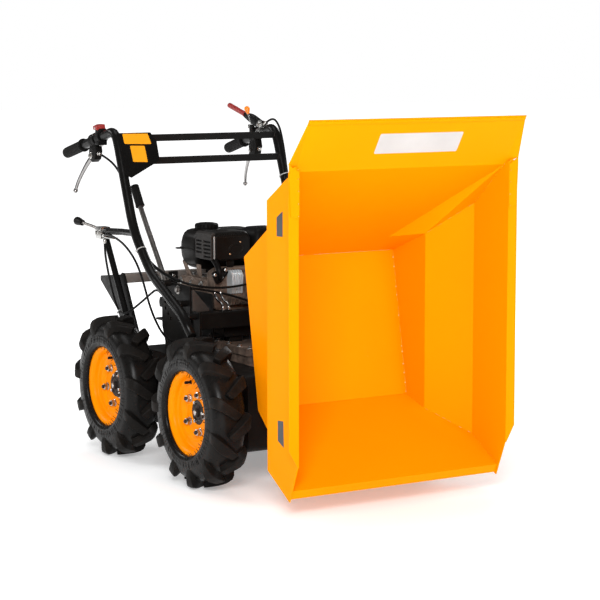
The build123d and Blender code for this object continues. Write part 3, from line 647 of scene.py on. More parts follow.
def lug_geo(side, t0):
    R0 = 194.0
    stations = []
    S = C_END
    ss = [-9.0, -7.2, -3.0, 4.0, 12.0, 20.0, 28.0, 35.0, 41.0, 47.0, 53.0, 58.0, S - 8.0, S - 2.5, S]

    def phi(s):
        # slanted over the crown, easing to upright over the shoulder
        a, q = 0.0, 0.0
        while q < s:
            a += 0.92 if q < 30 else max(0.04, 0.92 - (q - 30) * 0.034)
            q += 1.0
        return a if s > 0 else 0.92 * s
    cache = [(s, phi(s)) for s in ss]
    for i, (s, f) in enumerate(cache):
        a, b = cache[max(0, i - 1)], cache[min(len(cache) - 1, i + 1)]
        d = Vector((b[0] - a[0], b[1] - a[1])).normalized()
        wt = 9.6 + 4.6 * max(0.0, min(1.0, (s - 2) / 46.0))
        hf = 1.0
        if i == 0:
            wt, hf = wt * 0.55, 0.80
        elif i == 1:
            wt, hf = wt * 0.9, 0.97
        if s > S - 12:
            hf = 1.0 - 0.55 * (s - (S - 12)) / 12.0
            wt *= 1.0 - 0.10 * (s - (S - 12)) / 12.0
        row = []
        for w, h in ((-wt - 4.4, -0.10), (-wt - 2.6, 0.14), (-wt - 0.5, 0.93), (-wt + 0.7, 1.0), (0.0, 1.012), (wt - 0.7, 1.0), (wt + 0.5, 0.93), (wt + 2.6, 0.14), (wt + 4.4, -0.10)):
            sq = s - w * d.y
            fq = f + w * d.x
            sg = 1 if sq >= 0 else -1
            cr, cx = carcass_at(abs(sq))
            er, ex = envelope_at(min(abs(sq) * E_LEN / S, E_LEN))
            hh = h * hf if h > 0 else h
            r, x = cr + (er - cr) * hh, (cx + (ex - cx) * hh) * sg * side
            r = min(r, 204.8)
            t = t0 + fq / R0
            row.append(Vector((x, -r * cos(t), r * sin(t))))
        stations.append(row)
    verts, faces = [], []
    m = len(stations[0])
    for row in stations:
        verts += row
    for i in range(len(stations) - 1):
        for j in range(m - 1):
            faces.append([i * m + j, i * m + j + 1, (i + 1) * m + j + 1, (i + 1) * m + j])
        faces.append([i * m + m - 1, i * m, (i + 1) * m, (i + 1) * m + m - 1])
    faces.append(list(range(m)))
    faces.append([(len(stations) - 1) * m + j for j in range(m)])
    return verts, faces


RIM_SECTION = [
    (116.4, 37.4), (115.6, 38.7), (113.6, 38.95), (110.6, 38.3), (106.4, 36.2), (102.4, 32.6), (99.8, 28.4), (98.6, 24.0), (98.2, 20.2), (96.6, 17.4), (93.4, 15.9), (88.0, 15.4),
    (81.0, 15.3), (78.0, 14.8), (75.4, 13.4), (68.0, 8.6), (65.2, 7.5), (61.5, 7.2), (40.0, 7.2), (37.6, 7.6), (35.6, 8.0), (34.3, 7.4),
    (34.3, 3.6), (62.0, 3.4), (67.0, 4.8), (77.0, 11.4), (90.0, 11.8), (97.6, 11.8), (98.2, 8.0), (98.2, -24.0), (99.8, -28.4), (102.4, -32.6), (106.4, -36.2), (110.6, -38.3),
    (113.6, -38.95), (115.6, -38.7), (116.4, -37.4), (115.8, -36.2), (108.6, -34.4), (104.4, -31.0), (102.7, -26.0), (102.6, -16.0), (102.6, 16.0), (102.7, 26.0), (104.4, 31.0), (108.6, 34.4), (115.8, 36.2)]


def rim_geo():
    n = 96
    verts, faces = [], []
    m = len(RIM_SECTION)
    for k in range(n):
        t = 2 * pi * k / n
        verts += [Vector((x, -r * cos(t), r * sin(t))) for r, x in RIM_SECTION]
    for k in range(n):
        A, B = k * m, ((k + 1) % n) * m
        for j in range(m):
            i = (j + 1) % m
            faces.append([A + j, A + i, B + i, B + j])
    return verts, faces


def on_wheel(r, ang, x):
    """Point on the wheel: ang in degrees, 0 to the rear, 90 up."""
    a = math.radians(ang)
    return Vector((x, r * cos(a), r * sin(a)))


TYRE_GEO = tyre_geo()
RIM_GEO = rim_geo()
LUG_GEOS = [lug_geo(1, 2 * pi * k / LUGS) for k in range(LUGS)] + [lug_geo(-1, 2 * pi * (k + 0.5) / LUGS) for k in range(LUGS)]


def side_x(r):
    """Outer sidewall, its x at radius r."""
    for (r1, x1), (r2, x2) in zip(OUTER, OUTER[1:]):
        if r2 <= r <= r1:
            return x1 + (x2 - x1) * (r1 - r) / (r1 - r2)
    return OUTER[-1][1]


def wheel(name, sx, y, nut_phase, lug_phase):
    M = Matrix.Translation((sx * 325.0, y, 205.0)) @ Matrix.Diagonal((sx, 1, 1, 1))
    t = Piece("tyre_" + name + "_lugged")
    t.add(TYRE_GEO, M_TYRE, M)
    turned = M @ Matrix.Rotation(-lug_phase, 4, "X")
    for g in LUG_GEOS:
        t.add(g, M_LUG, turned)
    r2 = random.Random(hash_name(name))
    for side in (1, -1):                      # moulding hairs on the sidewalls and shoulders
        for k in range(46):
            a = 2 * pi * (k + r2.random() * 0.8) / 46
            if side > 0:
                rr, x0 = 117.2 + 2 * r2.random(), 47.6
                L, out, inw = 8.0 + 7.0 * r2.random(), 0.30 + 0.14 * r2.random(), 0.9
            else:
                rr, x0 = 113.0 + 6 * r2.random(), 40.6
                L, out, inw = 6.0 + 4.0 * r2.random(), 1.0, 0.2
            p = Vector((x0 * side, -rr * cos(a), rr * sin(a)))
            w = a + 0.5 * (r2.random() - 0.5)
            d = Vector((side * out, cos(w) * inw, -sin(w) * inw)).normalized()
            t.add(lathe([(-1.5, 0.9), (L * 0.7, 0.85), (L, 0.0)], p, d, 5), M_TYRE, M)
    for k in range(84):                       # mould flash and ribs across the outer sidewall
        a = 2 * pi * (k + r2.random() * 0.7) / 84
        hi, lo = 146.0 + 5.0 * r2.random(), 121.0 + 12.0 * r2.random()
        tw = 0.05 * (r2.random() - 0.5)
        line = []
        for i in range(6):
            rr = hi + (lo - hi) * i / 5
            b = a + tw * i / 5 + 0.006 * r2.random()
            line.append(Vector((side_x(rr) + 0.1, -rr * cos(b), rr * sin(b))))
        w0 = 0.8 + 0.7 * r2.random()
        t.add(sweep(line, lambda q: circle(w0 * (0.35 + 0.65 * sin(pi * min(1.0, max(0.0, 0.12 + 0.8 * q)))), 6)), M_LUG if k % 3 == 0 else M_TYRE, M)
    t.done("wheel_" + name, ["tyre_" + name], sharp=27.0)

    r = Piece("rim_" + name + "_pressed")
    r.add(RIM_GEO, M_RIM, M)
    va = nut_phase + 36.0                     # valve, in the slope of the disc
    p = on_wheel(84.0, va, 15.0)
    r.add(lathe([(-3, 6.2), (0.5, 6.2), (2.0, 4.2), (9.0, 3.6), (9.0, 4.3), (18.0, 4.1), (19.0, 3.2)], p, (1.0, 0.05, 0.0), 16), M_RUBBER, M)
    r.done("wheel_" + name, ["rim_" + name], sharp=40.0)

    nuts = Piece("wheel_nuts_" + name)
    for k in range(5):
        p = on_wheel(54.0, nut_phase + 72.0 * k, 7.2)
        nuts.add(lathe([(-0.6, 6.0), (-0.6, 11.4), (1.4, 11.4), (2.2, 10.4), (2.2, 6.0)], p, (1, 0, 0), 24), M_BOLT, M)
        nuts.add(lathe([(2.0, 9.4), (4.2, 9.7), (4.2, 6.0)], p, (1, 0, 0), 24), M_BOLT, M)
        nuts.add(hexa(p + Vector((4.0, 0, 0)), (1, 0, 0), 17.0, 9.6, 1.3, phase=0.4 + k), M_BOLT, M)
        nuts.add(lathe([(12.0, 5.4), (13.4, 5.3), (14.4, 5.4), (15.2, 5.2), (16.4, 5.4), (17.6, 5.2), (18.6, 4.4)], p, (1, 0, 0), 18), M_DARKST, M)
    nuts.done("wheel_" + name)

    h = Piece("hub_" + name + "_cast")
    prof = [(-176.0, 14.2), (-175.2, 15.0), (-30.0, 15.0), (-28.0, 24.0), (-26.0, 30.0), (-26.0, 49.0), (-25.0, 50.0), (2.4, 50.0), (3.3, 49.0), (3.3, 34.0), (6.2, 33.8), (7.4, 32.4), (7.4, 26.0),
            (5.2, 24.0), (5.2, 20.0), (8.0, 18.0)]
    h.add(lathe(prof + [(8.0, 0.0)], (0, 0, 0), (1, 0, 0), 48), M_DARKST, M)
    h.add(hexa(Vector((7.6, 0, 0)), (1, 0, 0), 24.0, 8.5, 1.4, phase=0.2), M_DARKST, M)
    h.add(cyl((15.5, 0, 0), (18.0, 0, 0), 7.6, 0.8, 18), M_BOLT, M)
    for k in range(3):
        p = on_wheel(29.2, nut_phase + 20.0 + 120.0 * k, 7.2)
        h.add(hexa(p, (1, 0, 0), 8.0, 4.6, 0.6, phase=0.5), M_BOLT, M)
    for k in range(5):                        # wheel studs, as seen from inside
        p = on_wheel(42.0, nut_phase + 72.0 * k, -26.0)
        h.add(cyl(p, p + Vector((-5.0, 0, 0)), 8.0, 0.8, 16), M_DARKST, M)
    h.done("wheel_" + name, ["hub_" + name])


def hash_name(s):
    return sum((i + 3) * ord(c) for i, c in enumerate(s))


wheel("front_left", 1, 0.0, 12.0, 0.18)
wheel("front_right", -1, 0.0, 38.0, 0.69)
wheel("rear_left", 1, 514.0, 51.0, 0.05)
wheel("rear_right", -1, 514.0, 60.0, 0.563)


# ------------------------------------------------------------------ tray
for n in ("tray_floor", "tray_side_left", "tray_side_right", "tray_rear_wall", "tray_chute", "tray_rear_flap"):
    finish_node(n, M_TRAY, 0.0009, 3)
finish_node("tray_hinge_lugs", M_TRAY, 0.0010, 2)

# load side of the floor runs from (-97, 628) to (-170, 231)
beads = Piece("tray_weld_beads")
F_TOP, F_LOW = (-97.0, 628.0), (-170.0, 231.0)


def on_floor(x, f, off=0.0):
    y = F_TOP[0] + (F_LOW[0] - F_TOP[0]) * f
    z = F_TOP[1] + (F_LOW[1] - F_TOP[1]) * f
    return (x, y - 0.9835 * off, z + 0.1808 * off)


f = 0.015
while f < 0.985:                              # stitch welds up both floor seams
    g = min(0.985, f + 0.022 + 0.05 * rnd.random())
    beads.both(bead(on_floor(234.6, f, 0.6), on_floor(234.6, g, 0.6), 1.8, 3.2), M_WELD)
    if rnd.random() < 0.8:                    # pale balls at the end of a run: painted glints, as seen on glossy beads
        beads.both(ball(on_floor(233.4, g, 1.4), 1.5 + 0.9 * rnd.random(), 10, 6), M_WELD_PAINTED_GLINT)
    f = g + 0.006 + 0.03 * rnd.random()
CH_12, CH_23, RE_12, RE_23 = (235.5, -257.0, 204.0), (320.5, -364.0, 142.0), (235.5, -257.0, 686.0), (320.5, -364.0, 773.0)
for a, b in (((235.5, -170.0, 231.0), CH_12), (CH_12, CH_23), (CH_23, (320.5, -482.0, 78.0)), ((235.5, -97.0, 628.0), RE_12), (RE_12, RE_23), (RE_23, (320.5, -497.0, 883.5))):
    a, b = Vector(a), Vector(b)
    f = 0.02
    while f < 0.96:
        g = min(0.98, f + 0.05 + 0.10 * rnd.random())
        up = Vector((-0.9, 0, 0.9 if a.z < 400 else -0.9))
        beads.both(bead(a.lerp(b, f) + up, a.lerp(b, g) + up, 1.35, 3.2), M_WELD)
        f = g + 0.02 + 0.14 * rnd.random()
for z in (892.0, 868.0, 838.0, 806.0, 776.0):     # tacks of the folded ears on the rim flange
    beads.both(ball((323.6, -519.4, z), 2.3, 12, 8), M_WELD)
for x0 in (112.0, 120.0):                      # hinge lugs to the back of the floor
    beads.both(bead((x0, -148.4, 336.0), (x0, -119.5, 486.0), 2.6, 3.6), M_WELD)
for x0 in (150.0, 180.0):
    beads.both(bead((x0, -160.5, 268.0), (x0, -101.0, 592.0), 2.4, 3.6), M_WELD)
beads.done("tray")

# folded hem along the top of the flap, on its load side
hem = Piece("tray_flap_hem")
FT, FF = Vector((0, -580.0, 1012.0)), Vector((0, -497.0, 883.5))
along = (FF - FT).normalized()
out = Vector((0, along.z, -along.y))
if out.y > 0:
    out = -out
prof = [(3.2, -0.4), (3.4, 1.0), (4.4, 1.9), (6.0, 2.1), (11.2, 2.1), (12.8, 1.7), (13.6, 0.8), (13.8, -0.4)]
ring_a = [FT + along * a + out * b + Vector((-326.4, 0, 0)) for a, b in prof]
ring_b = [FT + along * a + out * b + Vector((326.4, 0, 0)) for a, b in prof]
hem.add(ring_loft([ring_a, ring_b]), M_TRAY)
hem.done("tray")

# dark slate bars of the side stripe, blank between them, on both side walls
stripe = Piece("tray_side_stripes")
for bar in ([(-442.4, 783.4), (-413.0, 765.8), (-413.0, 718.2), (-442.4, 719.2)], [(-416.4, 249.6), (-443.4, 251.8), (-446.0, 184.0), (-416.4, 197.6)]):
    stripe.both(prism(corner(bar, 1.0, 3), "x", 323.3, 323.9, 0.2, 1), M_STRIPE)
stripe.done("tray")

# blank label on the flap
label = Piece("tray_flap_label")
lab = []
for u, v in corner([(-106.0, 44.8), (146.2, 44.8), (146.2, 105.4), (-106.0, 105.4)], 4.0, 4):
    p = FT + along * v + out * (-0.3)
    lab.append((u, p.y, p.z))
label.add(slab(lab, out * 0.75, 0.2, 1), M_LABEL)
label.done("tray")

# ------------------------------------------------------------------ chassis
for n, w in (("chain_case_left", 0.0014), ("chain_case_right", 0.0014), ("chain_case_covers", 0.0010), ("belly_plate", 0.0008), ("hinge_bracket_tube", 0.0014),
             ("cross_beam", 0.0010), ("engine_bed", 0.0008), ("side_plates", 0.0009), ("belt_guard", 0.0006)):
    finish_node(n, M_FRAME, w, 2)
finish_node("hinge_pin", M_ZINC, 0.0010, 2)

# face of each gusset painted lighter than the black frame as painted light for its lit side, with lighter edges as
# painted highlight; a thin plate lying on its front
gu = Piece("beam_gusset_faces")
gu.both(prism(corner([(229.6, 447.0), (171.6, 447.0), (229.6, 514.4)], [1, 3, 2], 3), "y", 220.2, 221.4, 0.4, 2), M_GUSSET_PAINTED_LIT)
gu.done("chassis")

# square rear bar between its two cut uprights
rf = Piece("rear_bar_and_uprights")
# bar lighter grey than the frame; the bright lines along its edges are painted highlight
rf.add(rbox(-225.4, 225.4, 660.0, 690.0, 484.0, 512.0, 2.6, 3), M_GREYBAR)
UPRIGHT = corner([(540.0, 240.0), (590.0, 240.0), (712.0, 402.0), (826.0, 478.0), (826.0, 492.0), (660.0, 512.0), (620.0, 440.0), (540.0, 300.0)], [2, 2, 12, 3, 4, 3, 20, 3], 4)
rf.both(prism(UPRIGHT, "x", 225.0, 230.0, 0.8, 2), M_FRAME)
rf.done("chassis", ["rear_frame"])

fix = Piece("chassis_fasteners")
for s in (1, -1):
    fix.bolt((s * 235.0, 298.0, 503.0), (s, 0, 0), 13.0, M_STEEL, h=6.0)
    for y, z in ((214.0, 270.0), (282.0, 270.0)):
        fix.bolt((s * 235.0, y, z), (s, 0, 0), 13.0)
    for y in (0.0, 514.0):                    # bearing cap screws round each axle boss
        for k in range(4):
            a = pi / 4 + k * pi / 2
            fix.bolt((s * 247.0, y + 31.0 * cos(a), 205.0 + 31.0 * sin(a)), (s, 0, 0), 8.0, washer=False)
    for y, z in ((560.0, 262.0), (575.0, 285.0)):
        fix.bolt((s * 230.0, y, z), (s, 0, 0), 13.0)
    for y in (440.0, 460.0):
        fix.bolt((s * 164.0 if s > 0 else -166.0, y, 374.0), (0, 0, 1), 8.0)
    for y in (402.0, 566.0):                  # engine feet
        fix.bolt((s * 106.0, y, 374.0), (0, 0, 1), 13.0, stud=4.0)
    for y in (-70.0, 90.0, 257.0, 420.0, 584.0):   # chain case cover screws, inboard
        for z in (106.0, 291.0):
            fix.bolt((s * 125.0, max(-56.0, min(570.0, y)), z), (-s, 0, 0), 8.0, washer=False)
    fix.bolt((s * 65.0, 660.0, 498.0), (0, -1, 0), 10.0)
    for x, y in ((s * 105.0, 60.0), (s * 105.0, 280.0), (s * 105.0, 520.0)):
        fix.bolt((x, y, 110.0), (0, 0, -1), 10.0)
fix.bolt((-40.0, 120.0, 110.0), (0, 0, -1), 17.0)
for y in (245.0, 520.0):                      # guard stand-offs
    fix.bolt((-160.0, y, 371.0), (-1, 0, 0), 8.0, M_DARKST)
fix.done("chassis")

welds = Piece("chassis_weld_beads")
for s in (1, -1):
    x = s * 230.0
    welds.add(bead((x - s * 7, 184.6, 404.0), (x - s * 7, 184.6, 444.0), 2.4), M_WELDB)
    welds.add(bead((x - s * 7, 188.0, 446.6), (x - s * 7, 218.0, 446.6), 2.4), M_WELDB)
    welds.add(bead((x - s * 1, 225.4, 452.0), (x - s * 1, 225.4, 512.0), 2.2), M_WELDB)
    welds.add(bead((s * 174.0, 225.6, 446.8), (s * 222.0, 225.6, 446.8), 2.2), M_WELDB)
    welds.add(bead((s * 108.4, -58.0, 286.0), (s * 108.4, -16.0, 286.0), 2.6), M_WELDB)
    welds.add(bead((s * 99.6, -58.0, 286.0), (s * 99.6, -16.0, 286.0), 2.6), M_WELDB)
    welds.add(bead((s * 224.6, 662.0, 512.4), (s * 224.6, 688.0, 512.4), 2.2), M_WELDB)
    welds.add(bead((s * 224.6, 690.4, 486.0), (s * 224.6, 690.4, 510.0), 2.2), M_WELDB)
    welds.add(bead((s * 124.6, -62.4, 238.0), (s * 124.6, -62.4, 282.0), 2.4), M_WELDB)
welds.done("chassis")

# gearbox: ribbed cast case under a bolted lid
gb = Piece("gearbox_cast")
gb.add(ring_loft([[(x, y, z) for x, y in rrect(-118 + i, 118 - i, 96 + i, 330 - i, 14 - i * 0.3, 5)] for z, i in
                  ((150.0, 8.0), (153.0, 4.0), (158.0, 2.0), (322.0, 0.0), (338.2, 0.0))]), M_CAST)
gb.add(ring_loft([[(x, y, z) for x, y in rrect(-124 + i, 124 - i, 90 + i, 336 - i, 16 - i, 5)] for z, i in
                  ((328.0, 0.8), (329.0, 0.0), (349.0, 0.0), (350.0, 1.0))]), M_CAST)
for x in (-90.0, -45.0, 0.0, 45.0, 90.0):     # upright ribs front and back
    for y0, y1 in ((91.0, 97.0), (329.0, 335.0)):
        gb.add(prism([(y0, 200.0), (y1, 170.0), (y1, 329.0), (y0, 329.0)] if y0 < 200 else [(y0, 170.0), (y1, 200.0), (y1, 329.0), (y0, 329.0)], "x", x - 3.5, x + 3.5, 1.2, 2), M_CAST)
for z in (196.0, 236.0):
    gb.add(rbox(-118.8, 118.8, 95.0, 331.0, z, z + 7.0, 1.5, 2), M_CAST)
gb.add(lathe([(0, 40.0), (6.0, 40.0), (8.0, 38.0), (8.0, 30.0), (14.0, 28.0), (16.0, 26.0), (16.0, 0.0)], (0, 97.0, 280.0), (0, -1, 0), 36), M_CAST)
for k in range(6):
    a = k * pi / 3 + 0.3
    gb.bolt((34.0 * cos(a), 89.5, 280.0 + 34.0 * sin(a)), (0, -1, 0), 8.0, washer=False)
for x in (-112.0, -56.0, 0.0, 56.0, 112.0):
    for y in (98.0, 328.0):
        gb.bolt((x, y, 350.0), (0, 0, 1), 9.0)
for y in (150.0, 213.0, 276.0):
    for x in (-116.0, 116.0):
        gb.bolt((x, y, 350.0), (0, 0, 1), 9.0)
gb.add(lathe([(0, 13.0), (14.0, 12.0), (14.0, 16.0), (16.0, 17.0), (21.0, 17.0), (22.0, 15.0), (22.0, 0.0)], (-60.0, 150.0, 350.0), (0, 0, 1), 24, lobes=lambda t, i: 1 + (0.04 * cos(12 * t) if i in (3, 4) else 0)), M_PLASTIC)
gb.done("chassis", ["gearbox"])

# ------------------------------------------------------------------ engine
tank = Piece("fuel_tank_pressed")


def tank_half(levels):
    return ring_loft([[(x, y, z) for x, y in rrect(-95 + i, 128 - i, 440 + i * 0.8, 572 - i * 0.8, r, 7)] for z, i, r in levels])


tank.add(tank_half(((534.0, 40.0, 12.0), (535.0, 33.0, 16.0), (538.5, 24.0, 22.0), (545.0, 14.5, 26.0), (556.0, 6.5, 30.0), (572.0, 1.8, 32.0), (592.0, 0.3, 32.0))), M_ENGBLK)
tank.add(tank_half(((597.0, 0.3, 32.0), (612.0, 1.0, 32.0), (628.0, 4.0, 32.0), (640.0, 9.0, 30.0), (647.5, 17.0, 26.0), (651.0, 27.0, 20.0), (652.0, 38.0, 14.0))), M_ENGBLK)
tank.add(ring_loft([[(x, y, z) for x, y in rrect(-95 - o, 128 + o, 440 - o, 572 + o, 32 + o, 7)] for z, o in
                    ((591.4, 1.4), (591.8, 2.2), (592.6, 2.6), (596.4, 2.6), (597.2, 2.2), (597.6, 1.4))]), M_ENGBLK)
tank.add(prism(corner([(-112.0, 536.0), (-94.0, 528.0), (-94.0, 562.0), (-112.0, 552.0)], 4.0, 4), "z", 592.6, 596.4, 0.6, 2), M_ENGBLK)
tank.add(lathe([(0, 41.0), (1.6, 40.6), (2.4, 39.4), (2.4, 20.0)], (-33.0, 500.0, 650.8), (0, 0, 1), 40), M_ENGBLK)
for x in (-84.0, 98.0):                       # legs from under the tank to the crankcase
    tank.add(prism(corner([(566.0, 560.0), (538.0, 552.0), (504.0, 516.0), (500.0, 505.0), (524.0, 505.0)], [4, 4, 6, 2, 4], 3), "x", x, x + 3.0, 0.7, 2), M_CAST)
    tank.add(prism(corner([(472.0, 552.0), (446.0, 552.0), (438.0, 505.0), (462.0, 505.0)], 4.0, 3), "x", x, x + 3.0, 0.7, 2), M_CAST)
for x0, x1 in ((-84.0, -60.0), (77.0, 101.0)):
    tank.add(rbox(x0, x1, 498.0, 526.0, 512.5, 516.0, 0.8, 2), M_CAST)
    tank.add(rbox(x0, x1, 438.0, 462.0, 512.5, 516.0, 0.8, 2), M_CAST)
    for y in (512.0, 450.0):
        tank.bolt(((x0 + x1) / 2, y, 516.0), (0, 0, 1), 10.0, M_ZINC)
tank.done("chassis", ["fuel_tank"])

cap = Piece("fuel_cap_ribbed")
cap.add(lathe([(0, 33.6), (1.0, 35.0), (10.5, 35.6), (13.8, 34.6), (16.0, 32.0), (17.0, 28.6), (17.0, 24.0), (18.4, 22.0), (19.0, 12.0), (19.0, 0.0)], (-33.0, 500.0, 652.4), (0, 0, 1), 120,
              lobes=lambda t, i: 1.0 - (0.055 * max(0.0, cos(14 * t)) ** 3 if 1 <= i <= 4 else 0.0)), M_PLASTIC)
cap.done("chassis", ["fuel_cap"])

# silencer in its louvred guard
mf = Piece("muffler_louvred")
X0, X1, Y0, Y1 = -105.0, 26.0, 335.0, 437.0
lv = []
for z, i, r in ((573.0, 6.0, 8.0), (574.4, 3.0, 10.0), (577.6, 1.2, 12.0), (588.0, 0.6, 13.0), (640.0, 0.6, 13.0), (647.0, 2.2, 13.0), (652.0, 6.0, 12.0), (655.0, 12.0, 11.0), (656.0, 20.0, 10.0)):
    lv.append([(x, y, z) for x, y in rrect(X0 + 4.0 + i, X1 - i, Y0 + 3.0 + i, Y1 - i, r, 6)])
mf.add(ring_loft(lv), M_ENGBLK)
us = [338.0, 341.6, 386.0, 397.0, 430.5, 434.6]
vs = [577.0, 580.5, 586.8, 591.5, 597.8, 602.5, 608.8, 613.5, 619.8, 624.5, 630.8, 646.5]
holes = [(i, j) for i in (1, 3) for j in (1, 3, 5, 7, 9)]
holes.remove((3, 1))
mf.add(lattice(us, vs, holes, lambda u, v, s: (X0 - 0.6 if s == 0 else X0 + 4.6, u, v)), M_GUARD)
mf.add(prism([(X0 - 0.4, 646.2), (X0 + 1.2, 650.4), (X0 + 5.0, 653.6), (X0 + 12.0, 655.8), (X0 + 12.0, 646.2)], "y", 338.2, 434.4, 0.4, 1), M_GUARD)
mf.add(rbox(X0 + 3.2, X0 + 5.4, 340.0, 432.6, 580.0, 632.0, 0.3, 1), M_RUBBER)
fp = corner([(X0 + 16.0, 576.0), (X1 - 7.0, 576.0), (X1 - 5.0, 583.0), (X1 - 5.0, 638.0), (X1 - 14.0, 648.0), (X0 + 22.0, 648.0), (X0 + 14.0, 640.0), (X0 + 14.0, 583.0)], 5.0, 4)
mf.add(prism(fp, "y", Y0 - 1.6, Y0 + 8.0, 1.6, 3), M_ENGBLK)
mf.add(ring_loft([[(-26.0 + 24.0 * f * cos(a), y, 607.0 + 15.0 * f * sin(a)) for a in [2 * pi * k / 40 for k in range(40)]] for f, y in
                  ((1.0, Y0 + 1.0), (1.0, Y0 - 2.4), (0.95, Y0 - 3.4), (0.86, Y0 - 3.6), (0.80, Y0 - 2.6), (0.2, Y0 - 2.4))]), M_ENGBLK)
# light grey rod on the front corner: a painted highlight on the shell's rounded edge
mf.add(cyl((X0 + 9.0, Y0 + 1.4, 579.0), (X0 + 9.0, Y0 + 1.4, 645.0), 2.4, 0.8, 16), M_PAINTED_HIGHLIGHT_STRIP)
for k in range(17):
    x = X0 + 24.0 + k * 5.6
    mf.add(prism([(Y0 - 2.4, 640.0), (Y0 - 2.4, 645.0), (Y0 + 4.0, 651.6), (Y0 + 9.0, 653.0), (Y0 + 9.0, 640.0)], "x", x, x + 2.6, 0.5, 1), M_ENGBLK)
mf.bolt((-11.7, Y0 - 1.4, 625.5), (0, -1, 0), 5.0, M_COPPER, washer=False)
mf.bolt((-45.9, Y0 - 1.4, 591.8), (0, -1, 0), 5.0, M_COPPER, washer=False)
mf.add(ring_loft([[(-52.0 + 27.0 * f * cos(a), 384.0 + 15.0 * f * sin(a), z) for a in [2 * pi * k / 36 for k in range(36)]] for f, z in
                  ((1.0, 655.0), (1.0, 656.6), (0.93, 657.2), (0.86, 656.4), (0.80, 652.0))]), M_RUBBER)
mf.add(lathe([(0, 9.0), (22.0, 9.0), (22.0, 7.4), (4.0, 7.4), (4.0, 0.0)], (0.0, 412.0, 590.0), (1.0, 0.0, -0.25), 24), M_DARKST)
for y in (360.0, 410.0):                      # feet of the silencer on the crankcase and barrel
    mf.add(prism([(-40.0, 545.0 if y < 380 else 512.0), (-20.0, 545.0 if y < 380 else 512.0), (-16.0, 575.0), (-44.0, 575.0)], "y", y, y + 3.0, 0.6, 2), M_ENGBLK)
mf.done("chassis", ["muffler"])

ex = Piece("exhaust_elbow")
line = smooth_line([(-91.0, 350.0, 577.0), (-91.0, 334.0, 566.0), (-90.0, 321.0, 550.0), (-87.0, 318.0, 536.0), (-84.5, 324.0, 526.0), (-84.0, 336.0, 522.0)], 8)
ex.add(sweep(line, circle(8.6, 24)), M_ENGBLK)
fl = corner([(-110.0, 541.0), (-60.0, 556.0), (-54.0, 541.0), (-80.0, 511.0), (-94.0, 506.0)], 7.0, 5)
ex.add(prism(fl, "y", 326.0, 333.6, 1.0, 2), M_ENGBLK)
ex.add(rbox(-94.0, -64.0, 333.0, 337.0, 514.0, 548.0, 0.8, 2), M_CAST)
for x, z in ((-101.0, 534.5), (-79.0, 527.0), (-65.7, 547.0)):
    ex.bolt((x, 326.2, z), (0, -1, 0), 9.5, M_ZINC, stud=3.0, washer=False)
ex.done("chassis", ["exhaust_pipe"])

# air cleaner on the left, cover clipped over a base tray
ac = Piece("air_cleaner_cover")
lv = []
for z, i, r in ((560.0, 9.0, 8.0), (562.0, 6.0, 10.0), (566.0, 4.6, 12.0), (588.0, 4.0, 13.0)):
    lv.append([(x, y, z) for x, y in rrect(30 + i, 135 - i, 318 + i, 432 - i, r, 5)])
ac.add(ring_loft(lv), M_ENGBLK)
lv = []
for z, i, r in ((586.0, 1.2, 14.0), (587.0, 0.2, 15.0), (594.0, 0.2, 15.0), (596.0, 1.6, 15.0), (630.0, 2.2, 15.0), (648.0, 5.0, 16.0), (657.0, 10.0, 16.0), (662.0, 18.0, 14.0), (664.0, 30.0, 10.0)):
    lv.append([(x, y, z) for x, y in rrect(30 + i, 135 - i, 318 + i, 432 - i, r, 5)])
ac.add(ring_loft(lv), M_PLASTIC)
for k in range(5):
    y = 345.0 + k * 13.0
    ac.add(prism([(40.0, 655.0), (46.0, 661.0), (56.0, 664.0), (109.0, 664.0), (119.0, 661.0), (125.0, 655.0)], "y", y, y + 4.0, 0.8, 1), M_PLASTIC)
ac.add(lathe([(0, 11.0), (1.0, 12.0), (8.0, 11.4), (9.6, 9.0), (9.6, 0.0)], (82.5, 317.0, 622.0), (0, -1, 0), 30, lobes=lambda t, i: 1 + (0.06 * cos(8 * t) if i in (1, 2) else 0)), M_PLASTIC)
for y in (338.0, 410.0):
    ac.add(rbox(131.0, 136.6, y - 6.0, y + 6.0, 578.0, 602.0, 1.2, 2), M_ZINC)
ac.add(pipe(smooth_line([(70.0, 400.0, 566.0), (66.0, 392.0, 548.0), (58.0, 386.0, 534.0)], 6), 14.0, 20), M_RUBBER)
ac.done("chassis", ["air_cleaner"])

blk = Piece("engine_block_cast")
CASE = [(384.0, 378.0), (590.0, 378.0), (590.0, 470.0), (556.0, 514.0), (402.0, 514.0), (384.0, 496.0)]
lv = []
for x, i in ((-92.0, 5.0), (-90.0, 1.5), (-86.0, 0.0), (-40.0, 0.0), (-39.0, -1.6), (-30.0, -1.6), (-29.0, 0.0), (70.0, 0.0), (71.0, -1.4), (80.0, -1.4), (81.0, 0.0), (89.0, 1.0), (92.0, 5.0)):
    c0 = Vector((487.0, 446.0))
    lv.append([(x, y, z) for y, z in corner([(p[0] - i * (1 if p[0] > 487 else -1), p[1] - i * (1 if p[1] > 446 else -1)) for p in CASE], 18.0, 5)])
blk.add(ring_loft(lv), M_CAST)
COVER = [(396.0, 388.0), (576.0, 388.0), (578.0, 466.0), (548.0, 506.0), (410.0, 508.0), (396.0, 494.0)]
blk.add(prism(corner(COVER, 16.0, 5), "x", -99.0, -90.0, 1.6, 3), M_CAST)
blk.add(lathe([(0, 60.0), (1.0, 58.0), (6.0, 40.0), (8.0, 30.0), (14.0, 27.0), (15.0, 24.0), (15.0, 13.0)], (-98.6, 480.0, 456.0), (-1, 0, 0), 40), M_CAST)
